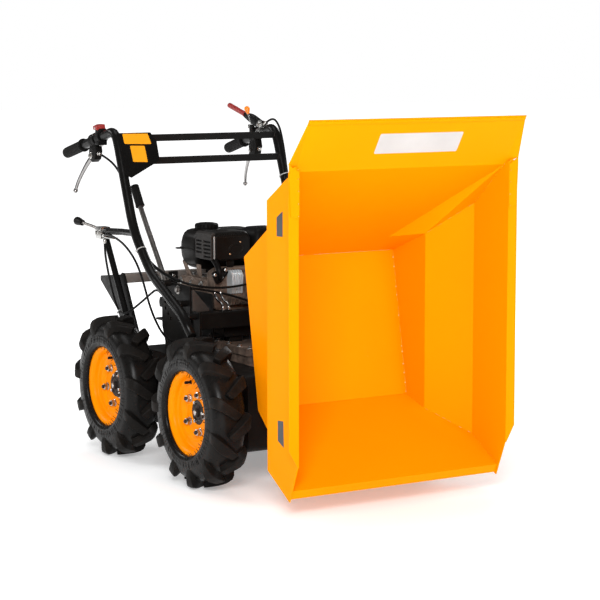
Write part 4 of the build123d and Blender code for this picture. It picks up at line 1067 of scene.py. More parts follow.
for k in range(6):
    a = k * pi / 3 + 0.4
    blk.add(prism([(480.0 + 26 * cos(a) - 2 * sin(a), 456.0 + 26 * sin(a) + 2 * cos(a)), (480.0 + 46 * cos(a) - 2 * sin(a), 456.0 + 46 * sin(a) + 2 * cos(a)),
                   (480.0 + 46 * cos(a) + 2 * sin(a), 456.0 + 46 * sin(a) - 2 * cos(a)), (480.0 + 26 * cos(a) + 2 * sin(a), 456.0 + 26 * sin(a) - 2 * cos(a))], "x", -107.0, -98.0, 0.6, 1), M_CAST)
for y, z in ((406.0, 398.0), (486.0, 395.0), (566.0, 398.0), (568.0, 462.0), (540.0, 498.0), (470.0, 500.0), (412.0, 498.0), (403.0, 446.0)):
    blk.bolt((-99.0, y, z), (-1, 0, 0), 10.0, M_ZINC, washer=True)
for s in (1, -1):                             # feet on the engine bed
    for y in (402.0, 566.0):
        blk.add(rbox(min(s * 84.0, s * 120.0), max(s * 84.0, s * 120.0), y - 14.0, y + 14.0, 374.0, 381.0, 2.0, 2), M_CAST)
# finned barrel lying forward, and the head with its upright fins
blk.add(rbox(-72.0, 42.0, 334.0, 390.0, 442.0, 534.0, 6.0, 2), M_CAST)
for k in range(6):
    y = 338.0 + k * 8.4
    plate = corner([(-95.0, 430.0), (62.0, 425.0), (62.0, 550.0), (-70.0, 551.0), (-95.0, 538.0)], 12.0, 4)
    blk.add(prism(plate, "y", y, y + 2.8, 0.7, 1), M_CAST)
blk.add(rbox(-20.0, 54.0, 308.0, 338.0, 450.0, 538.0, 6.0, 2), M_CAST)
blk.add(rbox(-53.0, -18.0, 309.0, 338.0, 478.0, 540.0, 4.0, 2), M_FIN)
blk.add(rbox(-53.0, -18.0, 312.0, 338.0, 450.0, 480.0, 4.0, 2), M_CAST)
for k in range(14):
    x = -56.0 + k * 8.4
    if x < -18:
        blk.add(prism(corner([(306.0, 478.0), (338.0, 478.0), (338.0, 546.0), (312.0, 546.0), (301.0, 532.0)], 5.0, 4), "x", x, x + 3.0, 0.7, 1), M_FIN)
        blk.add(prism(corner([(308.0, 446.0), (338.0, 440.0), (338.0, 474.0), (306.0, 474.0)], 3.0, 3), "x", x, x + 3.0, 0.7, 1), M_CAST)
    else:
        blk.add(prism(corner([(302.0, 446.0), (338.0, 440.0), (338.0, 546.0), (312.0, 546.0), (301.0, 532.0)], 5.0, 4), "x", x, x + 3.0, 0.7, 1), M_CAST)
blk.add(rbox(-2.0, 40.0, 299.6, 306.0, 456.0, 530.0, 2.5, 2), M_CAST)
for x in (6.0, 32.0):
    for z in (464.0, 522.0):
        blk.bolt((x, 299.8, z), (0, -1, 0), 8.0, washer=False)
blk.add(cyl((50.0, 306.0, 494.0), (50.0, 290.0, 502.0), 7.5, 1.0, 18), M_TIE)
blk.add(pipe(smooth_line([(50.0, 294.0, 500.0), (56.0, 287.0, 512.0), (70.0, 292.0, 534.0), (88.0, 330.0, 545.0), (98.0, 400.0, 530.0), (104.0, 440.0, 510.0)], 6), 4.2, 12), M_CABLE)
blk.add(cyl((62.0, 318.0, 532.0), (62.0, 296.0, 540.0), 4.0, 0.6, 14), M_ZINC)     # stop for the throttle cable
blk.add(rbox(54.0, 78.0, 316.0, 340.0, 524.0, 547.0, 2.0, 2), M_CAST)
# carburettor, oil filler, drain plug, governor arm
blk.add(rbox(44.0, 76.0, 360.0, 396.0, 510.0, 545.0, 4.0, 3), M_FIN)
blk.add(lathe([(0, 0.0), (0, 12.0), (3.0, 15.0), (20.0, 16.0), (22.0, 18.0), (24.0, 18.0)], (64.0, 372.0, 488.0), (0, 0, 1), 28), M_ZINC)
blk.add(lathe([(0, 12.0), (10.0, 11.0), (10.0, 15.0), (12.0, 16.0), (17.0, 16.0), (18.0, 14.0), (18.0, 0.0)], (-70.0, 586.0, 408.0), (0, 1, 0.45), 24, lobes=lambda t, i: 1 + (0.05 * cos(10 * t) if i in (3, 4) else 0)), M_PLASTIC)
blk.bolt((-40.0, 590.0, 392.0), (0, 1, 0), 12.0)
blk.add(prism([(20.0, 512.0), (28.0, 508.0), (78.0, 540.0), (72.0, 546.0)], "y", 424.0, 426.5, 0.5, 1), M_ZINC)
blk.add(cyl((24.0, 420.0, 511.0), (24.0, 432.0, 511.0), 4.0, 0.6, 14), M_ZINC)
blk.done("chassis", ["engine_block"])

# recoil starter on the left end of the crankshaft
rec = Piece("recoil_starter_cover")
RX, RY, RZ = 92.0, 480.0, 456.0
rec.add(lathe([(0, 73.6), (1.5, 75.0), (14.0, 75.0), (20.0, 73.4), (26.0, 70.0)], (RX, RY, RZ), (1, 0, 0), 72), M_ENGBLK)
for k in range(20):                           # spokes of the open face
    a = 2 * pi * k / 20
    p0, p1 = Vector((0, RY + 38.0 * cos(a), RZ + 38.0 * sin(a))), Vector((0, RY + 71.0 * cos(a), RZ + 71.0 * sin(a)))
    rec.add(sweep([p0 + Vector((RX + 37.0, 0, 0)), p0.lerp(p1, 0.5) + Vector((RX + 35.4, 0, 0)), p1 + Vector((RX + 25.0, 0, 0))], [(-3.0, -2.2), (3.0, -2.2), (2.5, 2.2), (-2.5, 2.2)], frame_x=(0, -sin(a), cos(a))), M_ENGBLK)
rec.add(lathe([(20.0, 38.0), (26.0, 39.5), (38.0, 39.5), (40.8, 37.0), (41.8, 33.0), (41.8, 0.0)], (RX, RY, RZ), (1, 0, 0), 48), M_ENGBLK)
rec.add(lathe([(20.0, 66.0), (20.0, 75.0), (24.0, 74.0), (27.0, 71.0), (27.0, 68.0), (24.0, 66.0)], (RX, RY, RZ), (1, 0, 0), 72, closed=True), M_ENGBLK)
rec.add(lathe([(12.0, 0.0), (12.0, 70.0), (13.0, 70.0), (13.0, 0.0)], (RX, RY, RZ), (1, 0, 0), 48), M_RUBBER)
for k in range(3):
    a = pi / 6 + k * 2 * pi / 3
    rec.bolt((RX + 23.0, RY + 67.0 * cos(a), RZ + 67.0 * sin(a)), (1, 0, 0), 8.0)
rec.add(rbox(RX + 6.0, RX + 34.0, RY - 66.0, RY - 40.0, RZ + 32.0, RZ + 54.0, 4.0, 3), M_ENGBLK)
rec.add(cyl((RX + 20.0, RY - 62.0, RZ + 46.0), (RX + 21.0, RY - 76.0, RZ + 52.0), 6.0, 1.0, 18), M_PLASTIC)
rec.add(cyl((RX + 21.0, RY - 74.0, RZ + 51.3), (RX + 21.0, RY - 82.0, RZ + 54.3), 1.6, 0.3, 10), M_RUBBER)
rec.add(sweep([(RX + 21.0, RY - 81.0, RZ + 54.0), (RX + 21.0, RY - 86.0, RZ + 56.0), (RX + 21.0, RY - 91.0, RZ + 58.0)], lambda q: circle(5.0 - 1.4 * abs(q - 0.5), 14, 17.0 - 6.0 * abs(q - 0.5)), frame_x=(0, 0, 1)), M_PLASTIC)
rec.done("chassis", ["recoil_starter"])

# belt drive on the right: crank pulley, gearbox input pulley, two belts, and polished arcs as painted highlight on the
# guard's front edge
pul = Piece("drive_pulleys_and_belts")
C1, R1, C2, R2 = Vector((480.0, 456.0)), 34.0, Vector((300.0, 328.0)), 22.0


def sheave(c, r, bore):
    g = r - 9.0
    return lathe([(0, bore), (0, r - 4.0), (0.5, r - 0.6), (1.1, r), (1.9, r), (4.6, g), (8.6, g), (11.3, r), (14.7, r), (17.4, g), (21.4, g), (24.1, r), (24.9, r), (25.5, r - 0.6), (26.0, r - 4.0), (26.0, bore)],
                 (-126.0, c.x, c.y), (-1, 0, 0), 60)


pul.add(sheave(C1, R1, 12.6), M_IRON)
pul.add(sheave(C2, R2, 8.9), M_IRON)
pul.add(lathe([(0, 12.6), (30.0, 12.6), (31.0, 11.6)], (-92.0, C1.x, C1.y), (-1, 0, 0), 32), M_IRON)
pul.add(lathe([(0, 9.0), (8.4, 9.0)], (-118.0, C2.x, C2.y), (-1, 0, 0), 28), M_IRON)
for c, af in ((C1, 15.0), (C2, 11.0)):
    pul.bolt((-152.2, c.x, c.y), (1, 0, 0), af, h=0.6, washer=False)
    pul.add(lathe([(-4.0, af * 0.62), (-1.2, af * 0.98), (0.2, af * 0.98)], (-151.8, c.x, c.y), (1, 0, 0), 24), M_BOLT)
ax = (C2 - C1)
dist, base = ax.length, math.atan2(ax.y, ax.x)
tilt = math.acos((R1 - R2) / dist)
for xo in (6.6, 19.4):
    ring = []
    for k in range(33):
        a = base + tilt + (2 * pi - 2 * tilt) * k / 32
        ring.append((C1, R1, a))
    for k in range(25):
        a = base - tilt + 2 * tilt * k / 24
        ring.append((C2, R2, a))
    verts, faces = [], []
    for c, r, a in ring:
        for dx, dr in ((-3.6, -7.4), (-5.2, 0.6), (5.2, 0.6), (3.6, -7.4)):
            verts.append(Vector((-126.0 - xo + dx, c.x + (r + dr) * cos(a), c.y + (r + dr) * sin(a))))
    n = len(ring)
    for i in range(n):
        j = (i + 1) % n
        for q in range(4):
            w = (q + 1) % 4
            faces.append([i * 4 + q, i * 4 + w, j * 4 + w, j * 4 + q])
    pul.add((verts, faces), M_BELT)
for x in (-120.0, -139.0):                    # polished arcs on the cross beam: painted highlight along the rounded front edge of the belt guard
    line = smooth_line([(x, 256.0, 493.0), (x, 254.0, 488.0), (x, 245.0, 478.0), (x, 233.0, 472.0), (x, 218.0, 467.0), (x, 208.0, 458.0), (x, 206.0, 446.0)], 6)
    pul.add(pipe(line, 3.6, 14), M_POLISH)
pul.add(rbox(-146.0, -113.0, 200.0, 214.0, 445.6, 449.0, 0.8, 2), M_FRAME)
pul.done("chassis", ["drive_pulley"])

# ------------------------------------------------------------------ handlebar and controls
for n in ("handlebar_left", "handlebar_right"):
    finish_node(n, M_BAR, 0.0, 1)
finish_node("handlebar_crossbars", M_BAR, 0.0018, 3)
finish_node("control_panel", M_BAR, 0.0005, 2)
finish_node("gear_stays", M_BAR, 0.0006, 2)

GD = {s: Vector((s * 12.5, 314.0, -79.0)).normalized() for s in (1, -1)}


def on_bar(y, s):
    f = (y - 622.0) / 314.0
    return Vector((s * (271.5 + 12.5 * f), y, 945.0 - 79.0 * f))


grips = Piece("handle_grips_ribbed")
for s in (1, -1):
    p = on_bar(822.0, s)
    L = (on_bar(936.0, s) - p).length
    prof = [(0.0, 14.1), (0.0, 18.8), (1.2, 20.2), (3.6, 20.6), (6.2, 20.2), (8.0, 18.6), (9.4, 16.6)]
    k = 12.0
    while k < L - 12:
        prof += [(k, 16.7), (k + 1.0, 17.1), (k + 3.6, 17.1), (k + 4.6, 16.7)]
        k += 6.2
    prof += [(L - 4, 16.8), (L + 1.6, 16.4), (L + 4.0, 14.4), (L + 4.9, 10.0), (L + 4.9, 3.0), (L + 4.0, 0.0)]
    grips.add(lathe(prof, p, GD[s], 40), M_RUBBER)
grips.done("chassis", ["handle_grips"])

plugs = Piece("bar_welds_and_plugs")
for s in (1, -1):
    d = Vector((0, 57.0, 53.5)).normalized()
    plugs.add(lathe([(-1.6, 0.0), (-1.6, 10.0), (-0.6, 12.4), (0.0, 13.6), (0.0, 11.4), (8.0, 11.2), (8.0, 0.0)], (s * 271.5, 146.0, 391.0), d, 28), M_PLASTIC)
    for z, y in ((855.0, 582.5), (921.0, 610.5)):
        for dy in (-10.0, 10.0):
            plugs.add(bead((s * 259.4, y + dy, z - 9.0), (s * 259.4, y + dy, z + 9.0), 2.0), M_WELDB)
        plugs.add(bead((s * 258.6, y - 9.0, z + 10.0), (s * 258.6, y + 9.0, z + 10.0), 2.0), M_WELDB)
    for y, z in ((196.0, 438.0), (250.0, 468.8), (348.0, 517.5)):
        plugs.add(lathe([(0.0, 9.2), (0.0, 11.4), (1.6, 11.8), (3.4, 10.6), (4.6, 9.2)], (s * 256.6, y, z), (s, 0, 0), 28, closed=True), M_WELDB)
plugs.done("chassis")

stick = Piece("panel_stickers")
lean = math.atan2(610.48 - 582.5, 66.0)


def panel_y(z):
    return 582.5 + (z - 855.0) * math.tan(lean) - 10.0 / cos(lean) - 4.2 - 2.0


for poly in ([(-259.0, 936.0), (-176.0, 934.6), (-170.0, 904.0), (-258.0, 906.6)], [(-241.4, 901.0), (-194.0, 899.6), (-193.6, 852.4), (-240.6, 854.2)]):
    pts = [(x, panel_y(z) + 0.15, z) for x, z in corner(poly, 3.0, 4)]
    stick.add(slab(pts, (0, -0.55, 0), 0.15, 1), M_STICKER)
stick.done("chassis")

lb = Piece("steering_lever_perches")
ll = Piece("steering_lever_blades")
for s in (1, -1):
    c, g = on_bar(748.0, s), GD[s]
    lb.add(lathe([(-15.0, 14.05), (-15.0, 19.0), (-14.0, 20.0), (-4.0, 20.0), (-3.4, 19.2), (3.4, 19.2), (4.0, 20.0), (14.0, 20.0), (15.0, 19.0), (15.0, 14.05)], c, g, 36, closed=True), M_FRAME)
    x = c.x
    body = corner([(729.0, c.z - 10.0), (764.0, c.z - 12.0), (773.0, c.z - 34.0), (771.0, c.z - 60.0), (752.0, c.z - 68.0), (732.0, c.z - 58.0), (722.0, c.z - 34.0)], 6.0, 4)
    lb.add(prism(body, "x", x - 11.5, x + 11.5, 2.6, 3), M_FRAME)
    for k in range(3):
        lb.add(rbox(x - 12.6, x + 12.6, 740.0, 766.0, c.z - 32.0 - k * 9.0, c.z - 28.6 - k * 9.0, 0.8, 1), M_FRAME)
    lb.bolt((x + s * 11.4, 759.0, c.z - 48.0), (s, 0, 0), 10.0)
    lb.bolt((x - s * 11.4, 759.0, c.z - 48.0), (-s, 0, 0), 10.0, washer=False)
    for dx in (-12.0, 12.0):
        lb.bolt((x + dx, 737.0, c.z + 12.0), (0, -0.25, 1), 7.0, washer=False)
    lb.add(rbox(x - 18.0, x + 18.0, 731.0, 747.0, c.z + 8.0, c.z + 14.0, 1.4, 2), M_FRAME)
    # cable adjuster out of the front of the perch
    lb.add(lathe([(-6.0, 5.0), (10.0, 5.0), (10.5, 7.0), (17.0, 7.0), (17.6, 5.4), (26.0, 5.0), (27.0, 3.6)], (x, 740.0, c.z - 40.0), (0, -1, -0.06), 18), M_BOLT)
    line = smooth_line([(x, 756.0, c.z - 44.0), (x + s * 1.6, 777.0, 856.0), (x + s * 5.0, 799.0, 837.0), (x + s * 10.0, 821.0, 811.0), (x + s * 16.0, 841.0, 781.0), (x + s * 20.0, 850.0, 759.0)], 8)

    def blade(q):
        return circle(5.0 - 0.4 * q, 16, 8.2 - 2.6 * q + 1.2 * sin(pi * min(1.0, q * 1.6)))
    ll.add(sweep(line, blade, frame_x=(1, 0, 0)), M_POLISH)
    ll.add(ball((x + s * 20.6, 851.6, 754.6), 7.6, 24, 14), M_POLISH)
lb.done("chassis", ["steering_lever_brackets"])
ll.done("chassis", ["steering_levers"], sharp=50.0)

ks = Piece("kill_switch_button")
c, g = on_bar(712.0, -1), GD[-1]
ks.add(lathe([(-13.0, 14.05), (-13.0, 18.0), (-12.0, 19.0), (12.0, 19.0), (13.0, 18.0), (13.0, 14.05)], c, g, 36, closed=True), M_PLASTIC)
ks.add(rbox(c.x - 13.0, c.x + 13.0, 699.0, 727.0, c.z + 7.0, c.z + 26.0, 3.0, 3), M_PLASTIC)
ks.add(rbox(c.x - 15.0, c.x + 15.0, 700.0, 726.0, c.z - 24.0, c.z - 8.0, 3.0, 3), M_PLASTIC)
key = prism(corner([(c.x - 19.0, c.z + 21.0), (c.x + 10.0, c.z + 26.0), (c.x + 8.0, c.z + 39.0), (c.x - 6.0, c.z + 38.0), (c.x - 20.0, c.z + 32.0)], 3.0, 4), "y", 701.0, 727.0, 1.8, 3)
ks.add(key, M_RED)
ks.add(rbox(c.x - 20.6, c.x - 18.8, 711.0, 717.0, c.z + 24.0, c.z + 29.6, 0.3, 1), M_TIE)
ks.bolt((c.x, 705.0, c.z - 24.0), (0, 0, -1), 6.0, washer=False)
ks.bolt((c.x, 721.0, c.z - 24.0), (0, 0, -1), 6.0, washer=False)
ks.done("chassis", ["kill_switch"])

cl = Piece("clutch_lever_channel")
c, g = on_bar(700.0, 1), GD[1]
cl.add(lathe([(-14.0, 14.05), (-14.0, 18.2), (-13.0, 19.0), (13.0, 19.0), (14.0, 18.2), (14.0, 14.05)], c, g, 36, closed=True), M_ZINC)
for dx in (-8.4, 6.4):
    cl.add(prism(corner([(688.0, c.z + 10.0), (718.0, c.z + 4.0), (724.0, c.z + 26.0), (712.0, c.z + 36.0), (694.0, c.z + 34.0)], 5.0, 4), "x", c.x + dx, c.x + dx + 2.0, 0.5, 2), M_ZINC)
arm = corner([(698.0, c.z + 14.0), (716.0, c.z + 10.0), (768.0, 952.0), (812.0, 970.4), (809.0, 983.6), (764.0, 979.0), (716.0, c.z + 38.0), (698.0, c.z + 30.0)], [6, 6, 12, 3, 3, 14, 8, 6], 4)
cl.add(prism(arm, "x", c.x - 6.2, c.x - 3.6, 0.6, 2), M_FRAME)
cl.add(prism(arm, "x", c.x + 3.6, c.x + 6.2, 0.6, 2), M_FRAME)
top = smooth_line([(c.x, 702.0, c.z + 30.0), (c.x, 720.0, c.z + 38.5), (c.x, 764.0, 977.6), (c.x, 809.0, 982.2)], 6)
cl.add(sweep(top, [(-5.6, -1.1), (5.6, -1.1), (5.6, 1.1), (-5.6, 1.1)], frame_x=(1, 0, 0)), M_FRAME)
cl.add(cyl((c.x, 800.0, 975.4), (c.x, 818.0, 979.8), 5.4, 0.5, 16), M_FRAME)
cl.bolt((c.x + 8.2, 708.0, c.z + 22.0), (1, 0, 0), 10.0)
cl.bolt((c.x - 8.2, 708.0, c.z + 22.0), (-1, 0, 0), 10.0)
cl.add(lathe([(-8.0, 4.6), (8.0, 4.6), (8.4, 6.4), (14.0, 6.4), (14.6, 4.6), (20.0, 4.2)], (c.x, 692.0, c.z + 24.0), (0, -1, 0.25), 16), M_BOLT)
cl.done("chassis", ["clutch_lever"])

cg = Piece("clutch_grip_red")
d = Vector((0, 107.0, 27.0)).normalized()
L = 110.0
prof = [(0.0, 5.6), (0.0, 8.4), (1.0, 9.0), (4.0, 9.0), (5.2, 8.2)]
k = 8.0
while k < L - 8:
    prof += [(k, 7.9), (k + 0.8, 8.3), (k + 2.8, 8.3), (k + 3.6, 7.9)]
    k += 5.0
prof += [(L - 3.0, 8.2), (L - 0.6, 7.0), (L, 4.0), (L, 0.0)]
cg.add(lathe(prof, (c.x, 807.4, 977.1), d, 30), M_RED)
cg.done("chassis", ["clutch_lever_grip"])

tl = Piece("throttle_lever_knob")
xx = c.x - 20.0
tl.add(rbox(xx - 5.0, xx + 5.0, 722.0, 750.0, 936.0, 948.0, 2.0, 2), M_FRAME)
tl.add(prism(corner([(724.0, 914.0), (744.0, 910.0), (746.0, 940.0), (728.0, 940.0)], 3.0, 3), "x", xx - 2.0, xx + 18.0, 0.8, 2), M_FRAME)
d = Vector((0, 24.0, 46.0)).normalized()
p = Vector((xx, 736.0, 946.0))
tl.add(cyl(p, p + d * 48.0, 2.4, 0.4, 12), M_ZINC)
tl.add(lathe([(0.0, 3.4), (1.0, 4.2), (6.0, 5.6), (12.0, 7.8), (17.0, 9.0), (21.0, 8.8), (24.0, 7.0), (25.6, 4.0), (26.2, 0.0)], p + d * 38.5, d, 28), M_KNOB)
tl.bolt((xx - 5.0, 736.0, 942.0), (-1, 0, 0), 7.0, washer=False)
tl.done("chassis", ["throttle_lever"])

tp = Piece("tipping_lever_rod")
line = smooth_line([(-200.0, 420.0, 470.0), (-200.0, 440.0, 500.0), (-200.0, 462.0, 533.0), (-200.0, 530.0, 621.0), (-200.0, 600.0, 712.0), (-200.0, 624.0, 748.0)], 8)
tp.add(pipe(line, 8.0, 24), M_STEEL)
tp.add(prism(corner([(396.0, 440.0), (427.0, 440.0), (430.0, 456.0), (425.0, 469.0), (408.0, 471.0), (398.0, 460.0)], 5.0, 4), "x", -229.6, -225.0, 0.8, 2), M_FRAME)
tp.add(prism(corner([(396.0, 440.0), (446.0, 440.0), (444.0, 462.0), (430.0, 476.0), (410.0, 476.0), (398.0, 462.0)], 6.0, 4), "x", -196.6, -192.4, 0.8, 2), M_FRAME)
tp.add(rbox(-229.0, -192.6, 396.0, 426.0, 440.0, 445.0, 1.0, 2), M_FRAME)
tp.add(cyl((-226.0, 418.0, 458.0), (-196.0, 418.0, 458.0), 9.0, 1.0, 24), M_ZINC)
tp.add(rbox(-208.0, -196.6, 408.0, 432.0, 450.0, 482.0, 3.0, 2), M_ZINC)
tp.bolt((-192.6, 420.0, 460.0), (1, 0, 0), 13.0)
tp.done("chassis", ["tipping_lever"])

tg = Piece("tipping_lever_handgrip")
d = Vector((0, 40.0, 60.0)).normalized()
p = Vector((-200.0, 600.0, 712.0)) + d * 8.0
L = (Vector((-200.0, 640.0, 772.0)) - p).length + 8.0
prof = [(0.0, 9.1), (0.0, 13.0), (1.2, 14.0), (5.0, 14.0), (6.2, 13.0)]
k = 8.0
while k < L - 10:
    prof += [(k, 12.7), (k + 0.9, 13.2), (k + 3.2, 13.2), (k + 4.1, 12.7)]
    k += 5.6
prof += [(L - 5.0, 13.4), (L - 2.0, 12.4), (L - 0.4, 9.0), (L, 0.0)]
tg.add(lathe(prof, p, d, 32), M_RUBBER)
tg.done("chassis", ["tipping_lever_grip"])

gk = Piece("gear_bracket_plated")
gk.add(rbox(-272.0, -268.8, 730.0, 768.0, 614.0, 650.0, 0.9, 2), M_ZINC)
gk.add(rbox(-243.2, -240.0, 730.0, 768.0, 614.0, 650.0, 0.9, 2), M_ZINC)
gk.add(rbox(-271.6, -240.4, 730.0, 768.0, 646.4, 650.0, 0.9, 2), M_ZINC)
gk.add(rbox(-271.6, -240.4, 730.0, 733.4, 615.0, 649.0, 0.9, 2), M_ZINC)
gk.add(rbox(-264.0, -248.0, 733.0, 768.4, 622.0, 646.8, 2.0, 2), M_CAST)
gk.add(prism(corner([(-268.0, 662.0), (-246.0, 662.0), (-244.0, 734.0), (-268.0, 734.0)], 4.0, 4), "z", 619.0, 623.0, 0.6, 2), M_ZINC)
for y in (740.0, 758.0):
    gk.bolt((-272.0, y, 632.0), (-1, 0, 0), 9.0, h=4.0)
    gk.bolt((-240.0, y, 632.0), (1, 0, 0), 9.0, washer=False)
gk.bolt((-256.0, 768.0, 627.0), (0, 1, 0), 10.0, stud=4.0)
gk.bolt((-256.0, 680.0, 623.0), (0, 0, 1), 7.0, washer=False, h=3.0)
gk.done("chassis", ["gear_bracket"])

gl = Piece("gear_lever_knob")
line = smooth_line([(-258.0, 764.0, 636.6), (-258.5, 783.0, 640.4), (-259.2, 799.0, 644.6), (-260.4, 840.0, 648.6), (-262.0, 884.0, 652.3)], 8)
gl.add(pipe(line, 4.7, 18), M_STEEL)
d = Vector((-1.0, 46.0, 4.0)).normalized()
gl.add(lathe([(0.0, 5.4), (0.0, 8.0), (1.5, 9.4), (10.0, 10.0), (22.0, 11.6), (32.0, 12.9), (39.0, 12.8), (43.6, 10.8), (46.0, 7.0), (46.8, 0.0)], (-262.0, 880.0, 652.0), d, 32), M_PLASTIC)
gl.add(cyl((-258.0, 764.0, 636.6), (-258.2, 776.0, 639.0), 7.0, 1.0, 18), M_ZINC)
gl.done("chassis", ["gear_lever"])

# ------------------------------------------------------------------ control cables, clips and ties
CABLES = [
    [(-276.4, 733.0, 874.0), (-268.0, 700.0, 864.0), (-256.0, 650.0, 838.0), (-248.0, 610.0, 790.0), (-247.0, 580.0, 730.0), (-247.0, 549.0, 670.0), (-248.0, 519.0, 621.0), (-248.0, 487.0, 589.5),
     (-247.0, 445.0, 566.0), (-243.0, 397.0, 548.0), (-236.0, 351.5, 535.0), (-220.0, 318.0, 525.0), (-190.0, 287.0, 513.0), (-125.5, 284.0, 502.0), (-53.2, 284.0, 502.0), (0.0, 284.0, 511.0),
     (44.0, 286.0, 526.0), (66.0, 304.0, 538.0)],
    [(-266.0, 726.0, 624.0), (-273.0, 698.0, 631.0), (-275.0, 651.0, 633.0), (-275.0, 563.0, 614.5), (-272.0, 493.0, 572.0), (-266.0, 459.0, 515.5), (-262.0, 423.0, 438.6), (-256.0, 379.0, 384.0),
     (-247.0, 350.0, 358.0), (-239.4, 334.0, 345.0)],
    [(-262.0, 724.0, 616.0), (-268.0, 712.0, 578.0), (-265.0, 700.0, 525.0), (-262.5, 672.0, 455.0), (-261.5, 640.0, 410.0), (-261.0, 606.0, 398.0), (-254.0, 570.0, 412.0), (-248.0, 510.0, 444.0),
     (-243.0, 455.0, 476.0), (-241.0, 418.0, 494.0), (-239.4, 394.0, 484.0)],
    [(272.5, 683.0, 950.0), (272.5, 640.0, 974.0), (271.0, 592.0, 956.0), (269.0, 560.0, 890.0), (267.0, 534.0, 800.0), (262.0, 500.0, 716.0), (246.0, 470.0, 650.0), (205.0, 462.0, 606.0), (165.0, 474.0, 592.0),
     (131.5, 494.0, 590.0)],
    [(-229.0, 290.0, 508.0), (-200.0, 276.0, 508.0), (-162.2, 270.0, 500.4), (-109.8, 269.0, 488.5), (-61.8, 269.0, 474.8), (-18.1, 269.0, 459.0), (40.0, 267.0, 436.0), (84.0, 262.0, 408.0), (98.0, 259.0, 375.0)],
]
cb = Piece("control_cable_runs")
for k, pts in enumerate(CABLES):
    cb.add(cable_mesh(pts, 3.4), M_CABLE)
    for e, (p, q) in enumerate(((pts[0], pts[1]), (pts[-1], pts[-2]))):
        d = Vector(q) - Vector(p)
        cb.add(lathe([(0.0, 2.6), (0.0, 4.4), (1.0, 4.8), (10.0, 4.8), (12.0, 4.0), (16.0, 3.6)], p, d, 16), M_BOLT if k != 4 and e == 0 else M_PLASTIC)
cb.add(cable_mesh(CABLES[0][6:12], 5.0), M_CABLE)      # outer sleeve where the throttle cable rubs the side plate
cb.done("chassis", ["control_cables"])

ties = Piece("cable_ties")


def tie(p, d, rx, ry, up):
    line = []
    u, w, d = basis(d, up)
    p = Vector(p)
    for k in range(33):
        t = 2 * pi * k / 32
        line.append(p + u * rx * cos(t) + w * ry * sin(t))
    verts, faces = [], []
    for i in range(32):
        n = (u * cos(2 * pi * i / 32) + w * sin(2 * pi * i / 32)).normalized()
        for a, b in ((-1.3, 0.0), (1.3, 0.0), (1.3, 1.0), (-1.3, 1.0)):
            verts.append(line[i] + d * a + n * b)
    for i in range(32):
        j = (i + 1) % 32
        for q in range(4):
            v = (q + 1) % 4
            faces.append([i * 4 + q, i * 4 + v, j * 4 + v, j * 4 + q])
    ties.add((verts, faces), M_TIE)
    q = p + u * (rx + 1.6)
    ties.add(rbox(-2.4, 2.4, -2.0, 2.0, -2.6, 2.6, 0.5, 2), M_TIE, Matrix.Translation(q) @ Matrix((u, w, d)).transposed().to_4x4())
    ties.add(rbox(0.0, 5.0, -0.5, 0.5, -1.2, 1.2, 0.2, 1), M_TIE, Matrix.Translation(q) @ Matrix((u, w, d)).transposed().to_4x4())


tie((-271.5, 455.0, 604.5), (0.0, 0.704, 0.710), 14.4, 14.4, (-1, 0.35, 0.2))
tie((-261.3, 630.0, 404.8), (0.0, 0.86, 0.50), 4.6, 4.6, (-0.8, 0.4, -0.5))
tie((270.0, 549.0, 800.0), (0.0, 0.36, 0.93), 18.0, 26.0, (1, 0, 0))
ties.done("chassis")


# ------------------------------------------------------------------ stage: pale floor and soft light
def area(name, loc, target, size, power, size_y=None, color=(1, 1, 1)):
    l = bpy.data.lights.new(name, "AREA")
    l.energy, l.size, l.color = power, size, color
    if size_y:
        l.shape, l.size_y = "RECTANGLE", size_y
    o = bpy.data.objects.new(name, l)
    bpy.context.scene.collection.objects.link(o)
    o.location = loc
    o.rotation_mode = "QUATERNION"
    o.rotation_quaternion = (Vector(target) - Vector(loc)).to_track_quat("-Z", "Y")
    return o


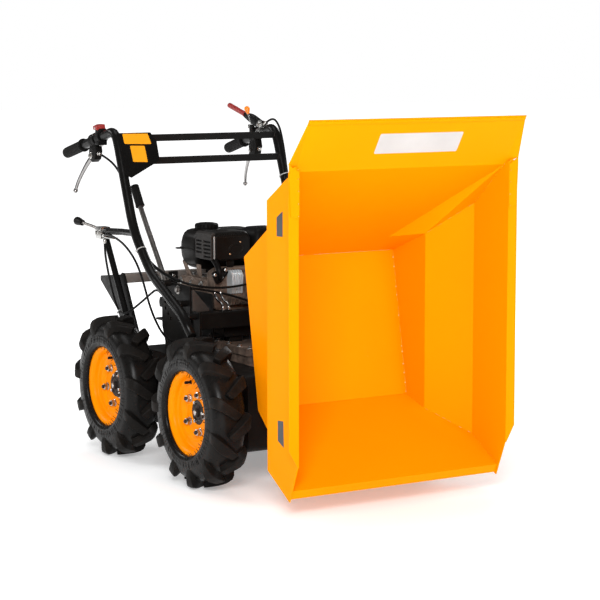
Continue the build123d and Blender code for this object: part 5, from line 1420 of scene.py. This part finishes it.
def make_stage():
    me = bpy.data.meshes.new("floor")
    s = 30.0
    me.from_pydata([(-s, -s, 0), (s, -s, 0), (s, s, 0), (-s, s, 0)], [], [(0, 1, 2, 3)])
    o = bpy.data.objects.new("floor", me)
    bpy.context.scene.collection.objects.link(o)
    m, t, b = nodes_of("pale_floor")
    co = t.nodes.new("ShaderNodeTexCoord").outputs["Object"]
    t.links.new(ramp(t, noise(t, co, 0.6, 3.0), [(0.3, (0.86, 0.86, 0.86)), (0.7, (0.89, 0.89, 0.89))]), b.inputs["Base Color"])
    far = t.nodes.new("ShaderNodeVectorMath")
    far.operation = "LENGTH"
    t.links.new(co, far.inputs[0])
    b.inputs["Emission Color"].default_value = (1.0, 1.0, 1.0, 1.0)
    t.links.new(remap(t, far.outputs["Value"], 0.5, 2.4, 0.30, 0.82), b.inputs["Emission Strength"])
    b.inputs["Roughness"].default_value = 0.75
    b.inputs["Specular IOR Level"].default_value = 0.1
    me.materials.append(m)
    w = bpy.data.worlds.new("studio")
    bpy.context.scene.world = w
    w.use_nodes = True
    nt = w.node_tree
    bg = nt.nodes["Background"]
    bg.inputs["Strength"].default_value = 1.0
    lp = nt.nodes.new("ShaderNodeLightPath")
    tc = nt.nodes.new("ShaderNodeTexCoord")
    sp = nt.nodes.new("ShaderNodeSeparateXYZ")
    nt.links.new(tc.outputs["Generated"], sp.inputs[0])
    sky = nt.nodes.new("ShaderNodeValToRGB")
    el = sky.color_ramp.elements
    el[0].position, el[0].color = 0.0, (0.27, 0.27, 0.27, 1)
    el[1].position, el[1].color = 0.75, (0.48, 0.48, 0.48, 1)
    nt.links.new(sp.outputs["Z"], sky.inputs["Fac"])
    dark = nt.nodes.new("ShaderNodeMix")
    dark.data_type = "RGBA"
    nt.links.new(lp.outputs["Is Glossy Ray"], dark.inputs[0])
    nt.links.new(sky.outputs["Color"], dark.inputs[6])
    dark.inputs[7].default_value = (0.12, 0.12, 0.12, 1.0)
    mx = nt.nodes.new("ShaderNodeMix")
    mx.data_type = "RGBA"
    nt.links.new(lp.outputs["Is Camera Ray"], mx.inputs[0])
    nt.links.new(dark.outputs[2], mx.inputs[6])
    mx.inputs[7].default_value = (1.0, 1.0, 1.0, 1.0)
    nt.links.new(mx.outputs[2], bg.inputs["Color"])
    area("key", (-2.8, -4.3, 2.70), (0, -0.3, 0.5), 1.8, 196.0, 1.4)
    area("fill", (1.2, -4.8, 1.2), (0, -0.2, 0.5), 1.4, 30.0, 1.0)
    area("top", (-0.3, 0.6, 4.2), (0, 0, 0.4), 2.4, 32.0, 1.8)
    area("rim_back", (-2.6, 3.6, 2.6), (0, 0.2, 0.5), 1.6, 45.0, 1.2)
    area("back_left", (3.2, 2.8, 2.2), (0, 0.2, 0.5), 1.6, 45.0, 1.2)


make_stage()
bpy.context.scene.view_settings.view_transform = "Standard"
bpy.context.scene.view_settings.look = "None"
